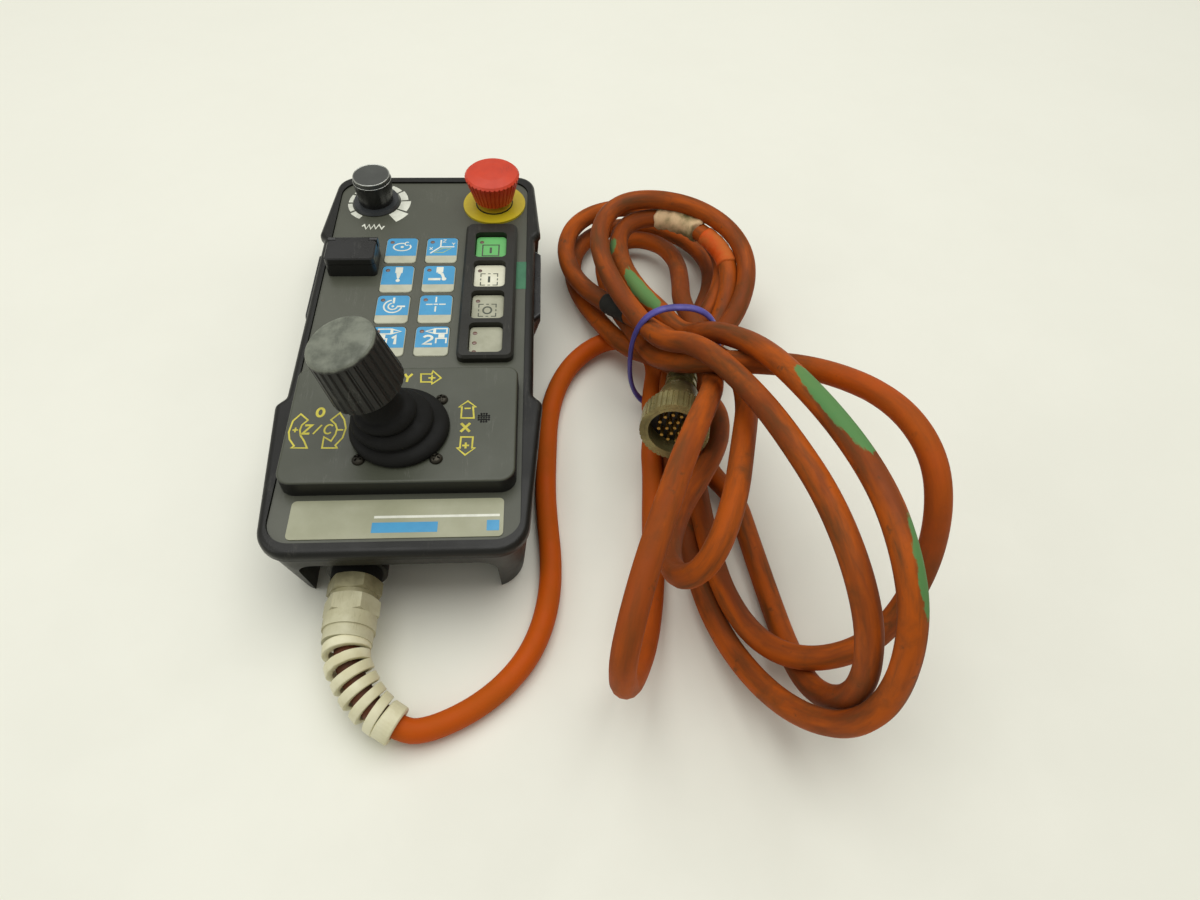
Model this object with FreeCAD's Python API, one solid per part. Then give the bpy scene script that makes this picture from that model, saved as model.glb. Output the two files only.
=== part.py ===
import FreeCAD, Part
import math
import os

# Hand controller of a coordinate measuring machine: a console with a joystick, keys, a stop button and a
# speed dial, with its cable in a tied hank that ends in a round plug. Millimetres. The origin is under the
# middle of the console on the table, X to the right, Y towards the stop button, Z up.

Vector = FreeCAD.Vector
X_AXIS = Vector(1, 0, 0)
Y_AXIS = Vector(0, 1, 0)
Z_AXIS = Vector(0, 0, 1)

# Console
case_length = 253.0
rail_half_width = 57.1
top_half_width = 55.6
flare_half_width = 60.2
flare_rear = 51.5
wing_half_width = 61.6
wing_front = 80.5
front_half_width = 55.6
step_run = 4.5
top_corner_radius = 11.0
front_corner_radius = 15.0
step_radius = 4.0
panel_z = 45.0
rim_proud = 1.0
rim_radius = 3.0
deck_thickness = 3.0
overlay_thickness = 0.8
split_gap = 0.8
side_draft = 4.0
front_draft = 7.5
wall = 2.6
floor_thickness = 3.0
sole_recess = 2.5
foot_length = 26.0
foot_width = 20.0
lip_height = 2.4
lip_thickness = 2.0
fit_gap = 0.3
face_gap = 0.25

# Panel
panel_width = 105.8
panel_margin = 6.0
panel_corner_radius = 11.0

# Cable recess at the front
recess_half_width = 42.0
recess_depth = 21.0
recess_height = 33.5
recess_radius = 8.0

# Keys
key_width = 16.8
key_pitch_x = 21.6
key_row_gap = 2.4
key_left_x = -14.4
key_rear_margin = 8.25
key_front_margin = 4.55
key_rows = 4
key_proud = 0.35
key_radius = 2.4
key_depth = 3.6
key_gap = 0.25

# Guard frame with its windows
guard_x = 33.8
guard_rear_gap = 3.4
guard_front_gap = 10.5
guard_width = 27.6
guard_height = 4.2
guard_radius = 4.0
guard_bevel = 1.2
window_width = 16.8
window_count = 4
window_web = 2.9
window_rear_margin = 8.3
window_front_margin = 3.2
window_radius = 2.8
guarded_key_proud = 1.2

# Joystick plate
plate_width = 101.0
plate_length = 65.2
plate_front_gap = 29.9
plate_height = 9.0
plate_wall = 2.5
plate_front_radius = 7.0
plate_rear_radius = 5.0
plate_edge_radius = 1.2
grille_x = 35.9
grille_from_plate = 34.2
grille_hole_radius = 0.38
grille_pitch = 1.1
grille_rings = 2

# Joystick
stick_from_plate = 28.3
pivot_depth = 6.0
stick_lean = 14.0
stick_hole_radius = 15.5
stick_flange = 41.0
stick_flange_thickness = 3.0
stick_tube_radius = 18.5
stick_tube_wall = 3.0
stick_tube_height = 15.0
stick_screw_spacing = 33.0
stick_screw_radius = 1.5
stick_screw_head_radius = 2.9
stick_screw_head_height = 1.9
gimbal_radius = 11.0
gimbal_bore = 8.0
gimbal_height = 4.4
trunnion_radius = 2.0
cross_pin_radius = 1.5
running_gap = 0.05
lever_radius = 3.5
lever_tail = 9.0
knob_base_reach = 36.2
knob_height = 26.8
knob_top_radius = 14.7
knob_base_radius = 16.2
knob_crown_radius = 1.8
knob_flutes = 26
flute_depth = 0.8
flute_land = 0.52
flute_flank = 0.16
knob_bore_depth = 16.0

# Gaiter: three rolled tiers that shrink towards the knob
gaiter_radii = (21.6, 17.4, 13.4)
gaiter_tier_height = 6.0
gaiter_neck_radius = 8.5
gaiter_wall = 1.8

# Speed dial
dial_x = -32.4
dial_rear = 23.6
dial_skirt_radius = 13.1
dial_skirt_height = 1.6
dial_base_radius = 9.4
dial_radius = 10.6
dial_edge = 0.4
dial_height = 13.7
dial_cap_radius = 9.9
dial_cap_height = 2.2
dial_shaft_radius = 3.0
dial_bush_radius = 4.5
dial_can_radius = 11.0
dial_can_height = 9.0
dial_lift = 0.5

# Stop button
stop_x = 34.1
stop_rear = 26.2
stop_disc_radius = 17.4
stop_disc_height = 1.2
stop_bezel_radius = 10.4
stop_bezel_height = 0.5
stop_thread_radius = 8.0
stop_stem_radius = 5.0
stop_travel = 3.6
stop_head_radius = 15.0
stop_head_base_radius = 11.0
stop_head_height = 16.6
stop_ribs = 36
stop_rib_depth = 0.5
stop_dome = 1.2
stop_nut_radius = 10.6
stop_block_width = 13.0
stop_block_length = 18.0
stop_block_height = 11.0

# Switch under a flip cover
flip_x = -37.8
flip_rear_margin = 19.5
flip_width = 25.6
flip_length = 18.8
flip_base_height = 7.6
flip_lid_height = 3.7
flip_wall = 1.8
flip_pin_radius = 0.8
flip_knuckle_radius = 1.6
flip_ear_width = 4.0
flip_button_width = 13.0
flip_button_length = 9.0
flip_button_drop = 1.6
flip_button_travel = 2.0

# Enabling bars on the sides
bar_length = 56.0
bar_rear_gap = 4.8
bar_z_low = 25.0
bar_z_high = 38.4
bar_proud = 3.0
bar_thickness = 9.0
bar_travel = 1.5
bar_radius = 2.2
bar_end_slope = 4.0
bar_under_slope = 8.0
switch_length = 20.0
switch_height = 10.0
switch_thickness = 6.5

# Boards
board_thickness = 1.6
board_width = 76.0
board_length = 150.0
board_post_gap = 9.0
board_z = 18.0
standoff_radius = 3.2
standoff_inset = 6.0
keypad_board_gap = 0.2

# Cable gland
gland_x = -19.4
gland_z = 18.5
boss_radius = 13.0
boss_length = 14.0
gland_thread_radius = 9.4
gland_flat = 20.6
gland_washer_length = 5.0
gland_washer_radius = 10.9
gland_hex_length = 7.0
gland_neck_radius = 10.0
gland_neck_length = 2.0
gland_cap_hex_length = 8.0
gland_ring_radius = 11.0
gland_ring_length = 6.3
gland_collar_radius = 10.3
gland_collar_length = 5.2
lock_nut_length = 5.0
lock_nut_flat = 22.6

# Strain relief: rings along a bend that settles on the table
relief_steps = (
    (0.0, -5.5, 0.0),
    (3.2, -12.5, -1.8),
    (8.4, -21.0, -4.6),
    (14.8, -27.4, -7.6),
    (22.4, -31.6, -9.6),
)
relief_rings = 6
relief_ring_length = 3.6
relief_ring_radius = 9.6
relief_ring_shrink = 0.2
relief_ring_steps = 4
relief_end_steps = 6
relief_core_radius = 5.7
relief_end_radius = 8.4
relief_end_length = 6.5
relief_mouth_radius = 6.8
relief_mouth_depth = 4.5

# Cable
cable_radius = 5.1
bore_gap = 0.2
lead_stub = 4.0
bend_share = 0.45
lead_steps = (
    (14.6, -185.2, 6.3),
    (24.0, -181.4, 5.4),
    (34.2, -175.8, 5.2),
    (45.0, -167.2, 5.2),
    (54.8, -155.0, 5.2),
    (61.0, -140.4, 5.2),
    (64.2, -124.0, 5.2),
    (64.6, -106.0, 5.2),
    (63.0, -88.0, 5.2),
    (61.9, -68.0, 5.2),
    (62.6, -46.0, 5.2),
    (63.4, -25.0, 5.2),
    (67.0, -6.0, 5.3),
    (74.0, 10.4, 5.8),
    (84.6, 22.4, 7.0),
    (96.0, 28.2, 8.6),
    (107.6, 26.6, 10.0),
    (116.6, 19.4, 11.5),
)

# Hank: outline sections across its length, as (y, x of left, x of right, z of bottom, z of top)
hank_rear = (
    (131.0, 98.0, 136.0, 6.0, 24.0),
    (120.0, 80.0, 152.0, 0.4, 36.0),
    (98.0, 69.0, 168.0, 0.4, 58.0),
    (55.0, 74.0, 180.0, 0.4, 57.0),
    (12.0, 88.0, 160.0, 0.4, 58.0),
)
hank_waist = (97.5, 140.5, 5.5, 66.0)
hank_front = (
    (-60.0, 104.0, 190.0, 0.4, 99.0),
    (-110.0, 103.0, 214.0, 0.4, 114.0),
    (-148.0, 95.0, 219.0, 0.4, 118.0),
    (-178.0, 86.0, 196.0, 4.0, 112.0),
    (-200.0, 86.0, 192.0, 20.0, 92.0),
    (-207.0, 150.0, 186.0, 30.0, 78.0),
)
hank_chamfer = 0.3
tie_y = -14.0
tie_thickness = 3.2

# Plug
plug_face_place = (121.5, -66.0, 46.0)
plug_tail_place = (131.0, -20.0, 36.0)
plug_ring_radius = 16.0
plug_ring_length = 11.0
plug_shell_radius = 13.6
plug_shell_wall = 1.6
plug_socket_depth = 9.0
plug_neck_radius = 9.0
plug_cone_length = 16.0
plug_clamp_radius = 7.6
plug_clamp_length = 16.0
plug_pin_radius = 0.75
plug_pin_length = 6.0
plug_pin_ring_radii = (0.0, 3.6, 7.4)
plug_pin_counts = (1, 6, 12)
plug_knurls = 40
plug_knurl_depth = 0.5

# Small parts
post_radius = 4.0
rear_post_x = 14.0
rear_post_inset = 16.5
screw_radius = 1.5
screw_head_radius = 2.8
screw_head_height = 2.0
screw_bite = 2.2
key_edge = 0.3
name_x = 0.8
name_front = 17.4
name_width = 89.4
name_length = 19.0
name_radius = 2.2
name_thickness = 0.4
buzzer_radius = 5.0
buzzer_height = 3.6
grille_ring_holes = 6
gaiter_follow = 0.75
stop_nut_height = 3.0
stop_stem_drop = 3.0
stop_nut_clear = 1.0
flip_swing_gap = 0.5

# Values that follow from the sizes above
half_length = case_length / 2
panel_length = case_length - 2 * panel_margin
flare_y = half_length - flare_rear
wing_y = wing_front - half_length
dial_y = half_length - dial_rear
stop_y = half_length - stop_rear
rear_post_y = half_length - rear_post_inset
name_y = name_front - half_length
plate_front_y = plate_front_gap - half_length
plate_rear_y = plate_front_y + plate_length
stick_y = plate_front_y + stick_from_plate
grille_y = plate_front_y + grille_from_plate
guard_top_y = stop_y - stop_disc_radius - guard_rear_gap
guard_bottom_y = plate_rear_y + guard_front_gap
guard_length = guard_top_y - guard_bottom_y
window_field = guard_length - window_rear_margin - window_front_margin
window_length = (window_field - (window_count - 1) * window_web) / window_count
window_pitch = window_length + window_web
key_field = guard_length - key_rear_margin - key_front_margin
key_pitch_y = (key_field + key_row_gap) / key_rows
key_length = key_pitch_y - key_row_gap
key_top_y = guard_top_y - key_rear_margin - key_length / 2
flip_y = guard_top_y - flip_rear_margin - flip_length / 2
bar_y_high = flare_y - bar_rear_gap
bar_y_low = bar_y_high - bar_length
board_y = rear_post_y - post_radius - board_post_gap - board_length / 2
rim_z = panel_z + rim_proud
deck_top = panel_z - overlay_thickness
split_z = deck_top - deck_thickness
plate_top = panel_z + plate_height
pivot = Vector(0, stick_y, plate_top - pivot_depth)
floor_z = sole_recess + floor_thickness
recess_back_y = -half_length + recess_depth
guard_top = panel_z + guard_height
flip_base_top = panel_z + flip_base_height
flip_pin_y = flip_y + flip_length / 2 - flip_knuckle_radius
flip_pin_z = flip_base_top + fit_gap + flip_knuckle_radius
plate_under = plate_top - plate_wall
bar_inner = rail_half_width + bar_proud - bar_thickness
key_floor = panel_z + key_proud - key_depth
dial_low = panel_z + dial_lift
dial_top = dial_low + dial_skirt_height + dial_height
stop_disc_top = panel_z + stop_disc_height
stop_bezel_top = stop_disc_top + stop_bezel_height
stop_barrel_low = split_z - stop_nut_height - stop_nut_clear
stop_head_low = stop_bezel_top + stop_travel + fit_gap
stop_stem_low = stop_barrel_low - stop_stem_drop
washer_y = recess_back_y - boss_length
gland_hex_y = washer_y - gland_washer_length
gland_cap_y = gland_hex_y - gland_hex_length - gland_neck_length
relief_y = gland_cap_y - gland_cap_hex_length - gland_ring_length - gland_collar_length
relief_start = Vector(gland_x, relief_y, gland_z)
relief_route = [relief_start] + [relief_start + Vector(*step) for step in relief_steps]
relief_heading = (relief_route[-1] - relief_route[-2]).normalize()
lead_start = relief_route[-1] - relief_heading * relief_mouth_depth
lead_bend = relief_route[-1] + relief_heading * lead_stub
lead_route = [lead_start, lead_bend] + [Vector(*point) for point in lead_steps]
plug_face = Vector(*plug_face_place)
plug_tail = Vector(*plug_tail_place)
plug_length = plug_ring_length + plug_shell_wall + plug_cone_length + plug_clamp_length


def corner_point(corners, index):
    x, y, radius = corners[index % len(corners)]
    return Vector(x, y, 0), radius


def rounded_outline(corners, z):
    # Closed outline of straight sides with a tangent arc at each corner given as (x, y, radius)
    arcs = []
    for index in range(len(corners)):
        before = corner_point(corners, index - 1)[0]
        here, radius = corner_point(corners, index)
        after = corner_point(corners, index + 1)[0]
        back = (before - here).normalize()
        ahead = (after - here).normalize()
        half = back.getAngle(ahead) / 2
        reach = radius / math.tan(half)
        bisector = (back + ahead).normalize()
        middle = here + bisector * (radius / math.sin(half) - radius)
        arcs.append((here + back * reach, middle, here + ahead * reach))
    lift = Vector(0, 0, z)
    edges = []
    for index, (start, middle, end) in enumerate(arcs):
        following = arcs[(index + 1) % len(arcs)][0]
        edges.append(Part.Arc(start + lift, middle + lift, end + lift).toShape())
        edges.append(Part.LineSegment(end + lift, following + lift).toShape())
    return Part.Wire(edges)


def prism(corners, z_low, z_high):
    face = Part.Face(rounded_outline(corners, z_low))
    return face.extrude(Vector(0, 0, z_high - z_low))


def rectangle(x, y, width, length, radius):
    return (
        (x + width / 2, y + length / 2, radius),
        (x + width / 2, y - length / 2, radius),
        (x - width / 2, y - length / 2, radius),
        (x - width / 2, y + length / 2, radius),
    )


def block(x_low, x_high, y_low, y_high, z_low, z_high):
    return Part.makeBox(x_high - x_low, y_high - y_low, z_high - z_low, Vector(x_low, y_low, z_low))


def disc(x, y, radius, z_low, z_high):
    return Part.makeCylinder(radius, z_high - z_low, Vector(x, y, z_low))


def turned(profile, centre=Vector(0, 0, 0)):
    # Solid of revolution about Z from a closed (radius, height) profile
    points = [Vector(radius, 0, height) for radius, height in profile]
    face = Part.Face(Part.makePolygon(points + points[:1]))
    solid = face.revolve(Vector(0, 0, 0), Z_AXIS, 360)
    solid.translate(centre)
    return solid


def joined(shapes):
    return shapes[0].multiFuse(shapes[1:]).removeSplitter()


def grouped(shapes):
    return Part.makeCompound(shapes)


def case_corners(inset_x, inset_y):
    right = (
        (top_half_width - inset_x, half_length - inset_y, top_corner_radius),
        (flare_half_width - inset_x, flare_y, step_radius),
        (rail_half_width - inset_x, flare_y - step_run, step_radius),
        (rail_half_width - inset_x, wing_y + step_run, step_radius),
        (wing_half_width - inset_x, wing_y, step_radius),
        (front_half_width - inset_x, -half_length + inset_y, front_corner_radius),
    )
    left = tuple((-x, y, radius) for x, y, radius in reversed(right))
    return right + left


def tapered_case(inset, z_low, z_high):
    # Case volume with drafted walls, moved inwards by inset
    wires = []
    for z in (z_low, z_high):
        share = (split_z - z) / split_z
        grown = inset + split_gap
        corners = case_corners(grown + side_draft * share, grown + front_draft * share)
        wires.append(rounded_outline(corners, z))
    return Part.makeLoft(wires, True, True)


def panel_outline(inset):
    width = panel_width - 2 * inset
    length = panel_length - 2 * inset
    return rectangle(0, 0, width, length, panel_corner_radius - inset)


def key_centres():
    places = []
    for row in range(key_rows):
        for column in range(2):
            places.append((key_left_x + column * key_pitch_x, key_top_y - row * key_pitch_y))
    return places


def window_centres():
    first = guard_top_y - window_rear_margin - window_length / 2
    return [(guard_x, first - row * window_pitch) for row in range(window_count)]


def recess_block(grow):
    # Arched space at the front where the cable comes out, grown by a wall where it is needed
    half = recess_half_width + grow
    top = recess_height + grow
    radius = recess_radius
    points = [Vector(half, 0, -wall), Vector(half, 0, top - radius), Vector(half - radius, 0, top)]
    points += [Vector(-half + radius, 0, top), Vector(-half, 0, top - radius), Vector(-half, 0, -wall)]
    bulge = radius * (1 - math.sqrt(0.5))
    edges = [
        Part.LineSegment(points[0], points[1]).toShape(),
        Part.Arc(points[1], Vector(half - bulge, 0, top - bulge), points[2]).toShape(),
        Part.LineSegment(points[2], points[3]).toShape(),
        Part.Arc(points[3], Vector(-half + bulge, 0, top - bulge), points[4]).toShape(),
        Part.LineSegment(points[4], points[5]).toShape(),
        Part.LineSegment(points[5], points[0]).toShape(),
    ]
    face = Part.Face(Part.Wire(edges))
    face.translate(Vector(0, -half_length - wall, 0))
    return face.extrude(Vector(0, recess_depth + wall + grow, 0))


def lower_case():
    outer = tapered_case(0, 0, split_z)
    cavity = tapered_case(wall, floor_z, split_z).cut(recess_block(wall))
    sole_long = half_length - front_draft - foot_length
    sole_wide = front_half_width - side_draft - foot_width
    sole = [
        block(-wing_half_width, wing_half_width, -sole_long, sole_long, 0, sole_recess),
        block(-sole_wide, sole_wide, -half_length, half_length, 0, sole_recess),
    ]
    boss = along_y(boss_radius, recess_back_y - boss_length, recess_back_y + wall)
    posts = [disc(x, y, post_radius, floor_z - fit_gap, split_z) for x, y in post_centres()]
    shell = joined([outer.cut(cavity).cut(recess_block(0)), boss] + posts)
    cuts = sole + [along_y(gland_thread_radius + running_gap, -half_length, recess_back_y + 2 * wall)]
    for x, y in post_centres():
        cuts.append(disc(x, y, screw_radius + fit_gap, 0, split_z))
        cuts.append(disc(x, y, screw_head_radius + fit_gap, 0, sole_recess + screw_head_height))
    cuts += [bar_window(side) for side in (1, -1)]
    return shell.cut(Part.makeCompound(cuts))


def top_cover():
    rim = prism(case_corners(0, 0), split_z, rim_z)
    top_edges = [edge for edge in rim.Edges if edge.BoundBox.ZMin > rim_z - fit_gap]
    rim = rim.makeFillet(rim_radius, top_edges)
    lip = tapered_case(wall + fit_gap, split_z - lip_height, split_z)
    lip = lip.cut(tapered_case(wall + fit_gap + lip_thickness, split_z - lip_height, split_z))
    cover = joined([rim, lip])
    cuts = [prism(panel_outline(0), deck_top, rim_z)] + panel_holes(split_z, deck_top)
    cuts += [disc(x, y, post_radius + fit_gap, split_z - lip_height, split_z) for x, y in post_centres()]
    thread = screw_radius + running_gap
    cuts += [disc(x, y, thread, split_z, split_z + screw_bite) for x, y in post_centres()]
    return cover.cut(Part.makeCompound(cuts))


def panel_holes(z_low, z_high):
    holes = []
    for x, y in key_centres():
        opening = rectangle(x, y, key_width + 2 * key_gap, key_length + 2 * key_gap, key_radius)
        holes.append(prism(opening, z_low, z_high))
    for x, y in window_centres():
        holes.append(prism(rectangle(x, y, window_width, window_length, window_radius), z_low, z_high))
    holes.append(disc(dial_x, dial_y, dial_bush_radius + fit_gap, z_low, z_high))
    holes.append(disc(stop_x, stop_y, stop_thread_radius + fit_gap, z_low, z_high))
    holes.append(disc(0, stick_y, stick_tube_radius + fit_gap, z_low, z_high))
    flip_hole = (flip_button_width + 2 * key_gap, flip_button_length + 2 * key_gap)
    holes.append(prism(rectangle(flip_x, flip_y, *flip_hole, key_radius), z_low, z_high))
    return holes


def keypad_overlay():
    sheet = prism(panel_outline(face_gap), deck_top, panel_z)
    return sheet.cut(Part.makeCompound(panel_holes(deck_top, panel_z)))


def key_block(centre, width, length, radius, top):
    x, y = centre
    solid = prism(rectangle(x, y, width, length, radius), key_floor, top)
    edges = [edge for edge in solid.Edges if edge.BoundBox.ZMin > top - fit_gap]
    return solid.makeChamfer(key_edge, edges)


def key_guard():
    middle_y = guard_top_y - guard_length / 2
    frame = prism(rectangle(guard_x, middle_y, guard_width, guard_length, guard_radius), panel_z, guard_top)
    edges = [edge for edge in frame.Edges if edge.BoundBox.ZMin > guard_top - fit_gap]
    frame = frame.makeChamfer(guard_bevel, edges)
    windows = []
    for x, y in window_centres():
        opening = rectangle(x, y, window_width, window_length, window_radius)
        windows.append(prism(opening, panel_z, guard_top))
    return frame.cut(Part.makeCompound(windows))


def plate_corners(inset):
    half = plate_width / 2 - inset
    rear = plate_rear_y - inset
    front = plate_front_y + inset
    return (
        (half, rear, plate_rear_radius),
        (half, front, plate_front_radius),
        (-half, front, plate_front_radius),
        (-half, rear, plate_rear_radius),
    )


def screw_places():
    half = stick_screw_spacing / 2
    return [(x, stick_y + y) for x in (-half, half) for y in (-half, half)]


def joystick_plate():
    body = prism(plate_corners(0), panel_z, plate_top)
    edges = [edge for edge in body.Edges if edge.BoundBox.ZMin > plate_top - fit_gap]
    body = body.makeFillet(plate_edge_radius, edges)
    cuts = [prism(plate_corners(plate_wall), panel_z, plate_under)]
    cuts.append(disc(0, stick_y, stick_hole_radius, plate_under, plate_top))
    for x, y in screw_places():
        cuts.append(disc(x, y, stick_screw_radius + running_gap, plate_under, plate_top))
    cuts.append(disc(grille_x, grille_y, grille_hole_radius, plate_under, plate_top))
    for ring in range(1, grille_rings + 1):
        holes = ring * grille_ring_holes
        for step in range(holes):
            turn = 2 * math.pi * step / holes
            x = grille_x + ring * grille_pitch * math.cos(turn)
            y = grille_y + ring * grille_pitch * math.sin(turn)
            cuts.append(disc(x, y, grille_hole_radius, plate_under, plate_top))
    return body.cut(Part.makeCompound(cuts))


def leaned(shape):
    # Joystick pieces are drawn upright and then leaned to the left about the pivot
    shape.rotate(pivot, Y_AXIS, -stick_lean)
    return shape


def stick_housing():
    flange_z = plate_under - stick_flange_thickness
    square = rectangle(0, stick_y, stick_flange, stick_flange, plate_rear_radius)
    flange = prism(square, flange_z, plate_under)
    tube = disc(0, stick_y, stick_tube_radius, flange_z - stick_tube_height, flange_z)
    bore = disc(0, stick_y, stick_tube_radius - stick_tube_wall, flange_z - stick_tube_height, plate_under)
    reach = stick_flange / 2
    bearing = Part.makeCylinder(trunnion_radius + running_gap, 2 * reach, pivot - Y_AXIS * reach, Y_AXIS)
    cuts = [bore, bearing]
    for x, y in screw_places():
        cuts.append(disc(x, y, stick_screw_radius + running_gap, flange_z, plate_under))
    return joined([flange, tube]).cut(Part.makeCompound(cuts))


def stick_screws():
    screws = []
    for x, y in screw_places():
        shank = disc(x, y, stick_screw_radius, plate_under - stick_flange_thickness, plate_top)
        head = disc(x, y, stick_screw_head_radius, plate_top, plate_top + stick_screw_head_height)
        edges = [edge for edge in head.Edges if edge.BoundBox.ZMin > plate_top + fit_gap]
        screws.append(joined([shank, head.makeFillet(stick_screw_head_height / 2, edges)]))
    return grouped(screws)


def gimbal_ring():
    low = pivot - Z_AXIS * (gimbal_height / 2)
    ring = Part.makeCylinder(gimbal_radius, gimbal_height, low)
    stub_start = (gimbal_radius + gimbal_bore) / 2
    stub_length = stick_tube_radius - fit_gap - stub_start
    stubs = [
        Part.makeCylinder(trunnion_radius, stub_length, pivot + Y_AXIS * (side * stub_start), Y_AXIS * side)
        for side in (1, -1)
    ]
    bore = Part.makeCylinder(gimbal_bore, gimbal_height, low)
    cross = Part.makeCylinder(
        cross_pin_radius + running_gap, 2 * gimbal_radius, pivot - X_AXIS * gimbal_radius, X_AXIS
    )
    return leaned(joined([ring] + stubs).cut(Part.makeCompound([bore, cross])))


def lever_shaft():
    length = lever_tail + knob_base_reach + knob_bore_depth - fit_gap
    shaft = Part.makeCylinder(lever_radius, length, pivot - Z_AXIS * lever_tail)
    hole = Part.makeCylinder(cross_pin_radius, 2 * lever_radius, pivot - X_AXIS * lever_radius, X_AXIS)
    return leaned(shaft.cut(hole))


def lever_cross_pin():
    half = gimbal_radius - fit_gap
    return leaned(Part.makeCylinder(cross_pin_radius, 2 * half, pivot - X_AXIS * half, X_AXIS))


def fluted_wire(radius, depth, count, z):
    # Flutes as a closed polygon: flat lands on the outside and shallow grooves between them
    points = []
    for step in range(count):
        groove = flute_land + flute_flank
        for share, sunk in ((0, 0), (flute_land, 0), (groove, depth), (groove + flute_flank, depth)):
            turn = 2 * math.pi * (step + share) / count
            points.append(Vector((radius - sunk) * math.cos(turn), (radius - sunk) * math.sin(turn), z))
    return Part.makePolygon(points + points[:1])


def fluted_cone(base_radius, top_radius, height, depth, count):
    wires = [fluted_wire(base_radius, depth, count, 0), fluted_wire(top_radius, depth, count, height)]
    return Part.makeLoft(wires, True, True)


def stick_knob():
    cone = fluted_cone(knob_base_radius, knob_top_radius, knob_height, flute_depth, knob_flutes)
    shoulder = knob_height - knob_crown_radius
    crown_half = knob_crown_radius * math.sqrt(0.5)
    rim = knob_top_radius + (knob_base_radius - knob_top_radius) * knob_crown_radius / knob_height
    base_edge = knob_base_radius - flute_depth - fit_gap
    envelope = turned((
        (0, 0),
        (base_edge, 0),
        (knob_base_radius, flute_depth + fit_gap),
        (rim, shoulder),
        (rim - knob_crown_radius + crown_half, shoulder + crown_half),
        (rim - knob_crown_radius, knob_height),
        (0, knob_height),
    ))
    knob = cone.common(envelope)
    knob = knob.cut(Part.makeCylinder(lever_radius + running_gap, knob_bore_depth))
    knob.translate(pivot + Z_AXIS * knob_base_reach)
    return leaned(knob)


def tier_disc(index, inset, drop):
    # One rolled tier of the gaiter, pulled towards the leaning lever by its height
    low = plate_top + index * gaiter_tier_height - drop
    high = plate_top + (index + 1) * gaiter_tier_height - inset
    radius = gaiter_radii[index] - inset
    shift = math.tan(math.radians(stick_lean)) * index * gaiter_tier_height * gaiter_follow
    roll = gaiter_tier_height / 2 - inset / 2
    profile = ((0, low), (radius, low), (radius, high - roll), (radius - roll, high), (0, high))
    return turned(profile, Vector(-shift, stick_y, 0))


def stick_gaiter():
    tiers = range(len(gaiter_radii))
    top = pivot_depth + len(gaiter_radii) * gaiter_tier_height
    neck_low = top - 1.5 * gaiter_tier_height
    neck_high = knob_base_reach - fit_gap
    neck = Part.makeCone(
        gaiter_radii[-1] - gaiter_wall, gaiter_neck_radius, neck_high - neck_low, pivot + Z_AXIS * neck_low
    )
    outer = joined([tier_disc(index, 0, 0) for index in tiers] + [leaned(neck)])
    hollow = [tier_disc(index, gaiter_wall, gaiter_wall if index else 0) for index in tiers]
    hollow.append(leaned(Part.makeCylinder(lever_radius + fit_gap, neck_high, pivot)))
    head_room = stick_screw_head_radius + fit_gap
    notches = [disc(x, y, head_room, plate_top, plate_top + gaiter_tier_height) for x, y in screw_places()]
    return outer.cut(joined(hollow)).cut(Part.makeCompound(notches))


def dial_shaft():
    return disc(dial_x, dial_y, dial_shaft_radius, split_z + fit_gap, dial_top - dial_skirt_height)


def dial_can():
    # Potentiometer can under the deck with its bush through the panel
    can = disc(dial_x, dial_y, dial_can_radius, split_z - dial_can_height, split_z)
    bush = disc(dial_x, dial_y, dial_bush_radius, split_z, panel_z)
    return joined([can, bush]).cut(disc(dial_x, dial_y, dial_shaft_radius + running_gap, split_z, panel_z))


def dial_skirt():
    profile = (
        (dial_shaft_radius + running_gap, dial_low),
        (dial_skirt_radius, dial_low),
        (dial_skirt_radius - dial_skirt_height / 2, dial_low + dial_skirt_height),
        (dial_shaft_radius + running_gap, dial_low + dial_skirt_height),
    )
    return turned(profile, Vector(dial_x, dial_y, 0))


def dial_knob():
    low = dial_low + dial_skirt_height
    bore_top = dial_top - dial_skirt_height
    profile = (
        (dial_shaft_radius + running_gap, low),
        (dial_base_radius, low),
        (dial_radius, dial_top - dial_edge),
        (dial_radius - dial_edge, dial_top),
        (0, dial_top),
        (0, bore_top),
        (dial_shaft_radius + running_gap, bore_top),
    )
    return turned(profile, Vector(dial_x, dial_y, 0))


def dial_cap():
    return disc(dial_x, dial_y, dial_cap_radius, dial_top, dial_top + dial_cap_height)


def stop_disc():
    ring = disc(stop_x, stop_y, stop_disc_radius, panel_z, stop_disc_top)
    return ring.cut(disc(stop_x, stop_y, stop_thread_radius + fit_gap, panel_z, stop_disc_top))


def stop_bezel():
    flange = disc(stop_x, stop_y, stop_bezel_radius, stop_disc_top, stop_bezel_top)
    thread = disc(stop_x, stop_y, stop_thread_radius, stop_barrel_low, stop_disc_top)
    bore = disc(stop_x, stop_y, stop_stem_radius + running_gap, stop_barrel_low, stop_bezel_top)
    return joined([flange, thread]).cut(bore)


def stop_nut():
    nut = Part.Face(hexagon(stop_nut_radius)).extrude(Z_AXIS * stop_nut_height)
    nut.translate(Vector(stop_x, stop_y, split_z - stop_nut_height))
    bore = disc(stop_x, stop_y, stop_thread_radius + running_gap, split_z - stop_nut_height, split_z)
    return nut.cut(bore)


def stop_block():
    high = stop_barrel_low
    low = high - stop_block_height
    body = prism(rectangle(stop_x, stop_y, stop_block_width, stop_block_length, key_radius), low, high)
    pocket_floor = stop_stem_low - stop_travel - fit_gap
    return body.cut(disc(stop_x, stop_y, stop_stem_radius + fit_gap, pocket_floor, high))


def stop_stem():
    return disc(stop_x, stop_y, stop_stem_radius, stop_stem_low, stop_head_low + stop_head_height / 2)


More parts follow.
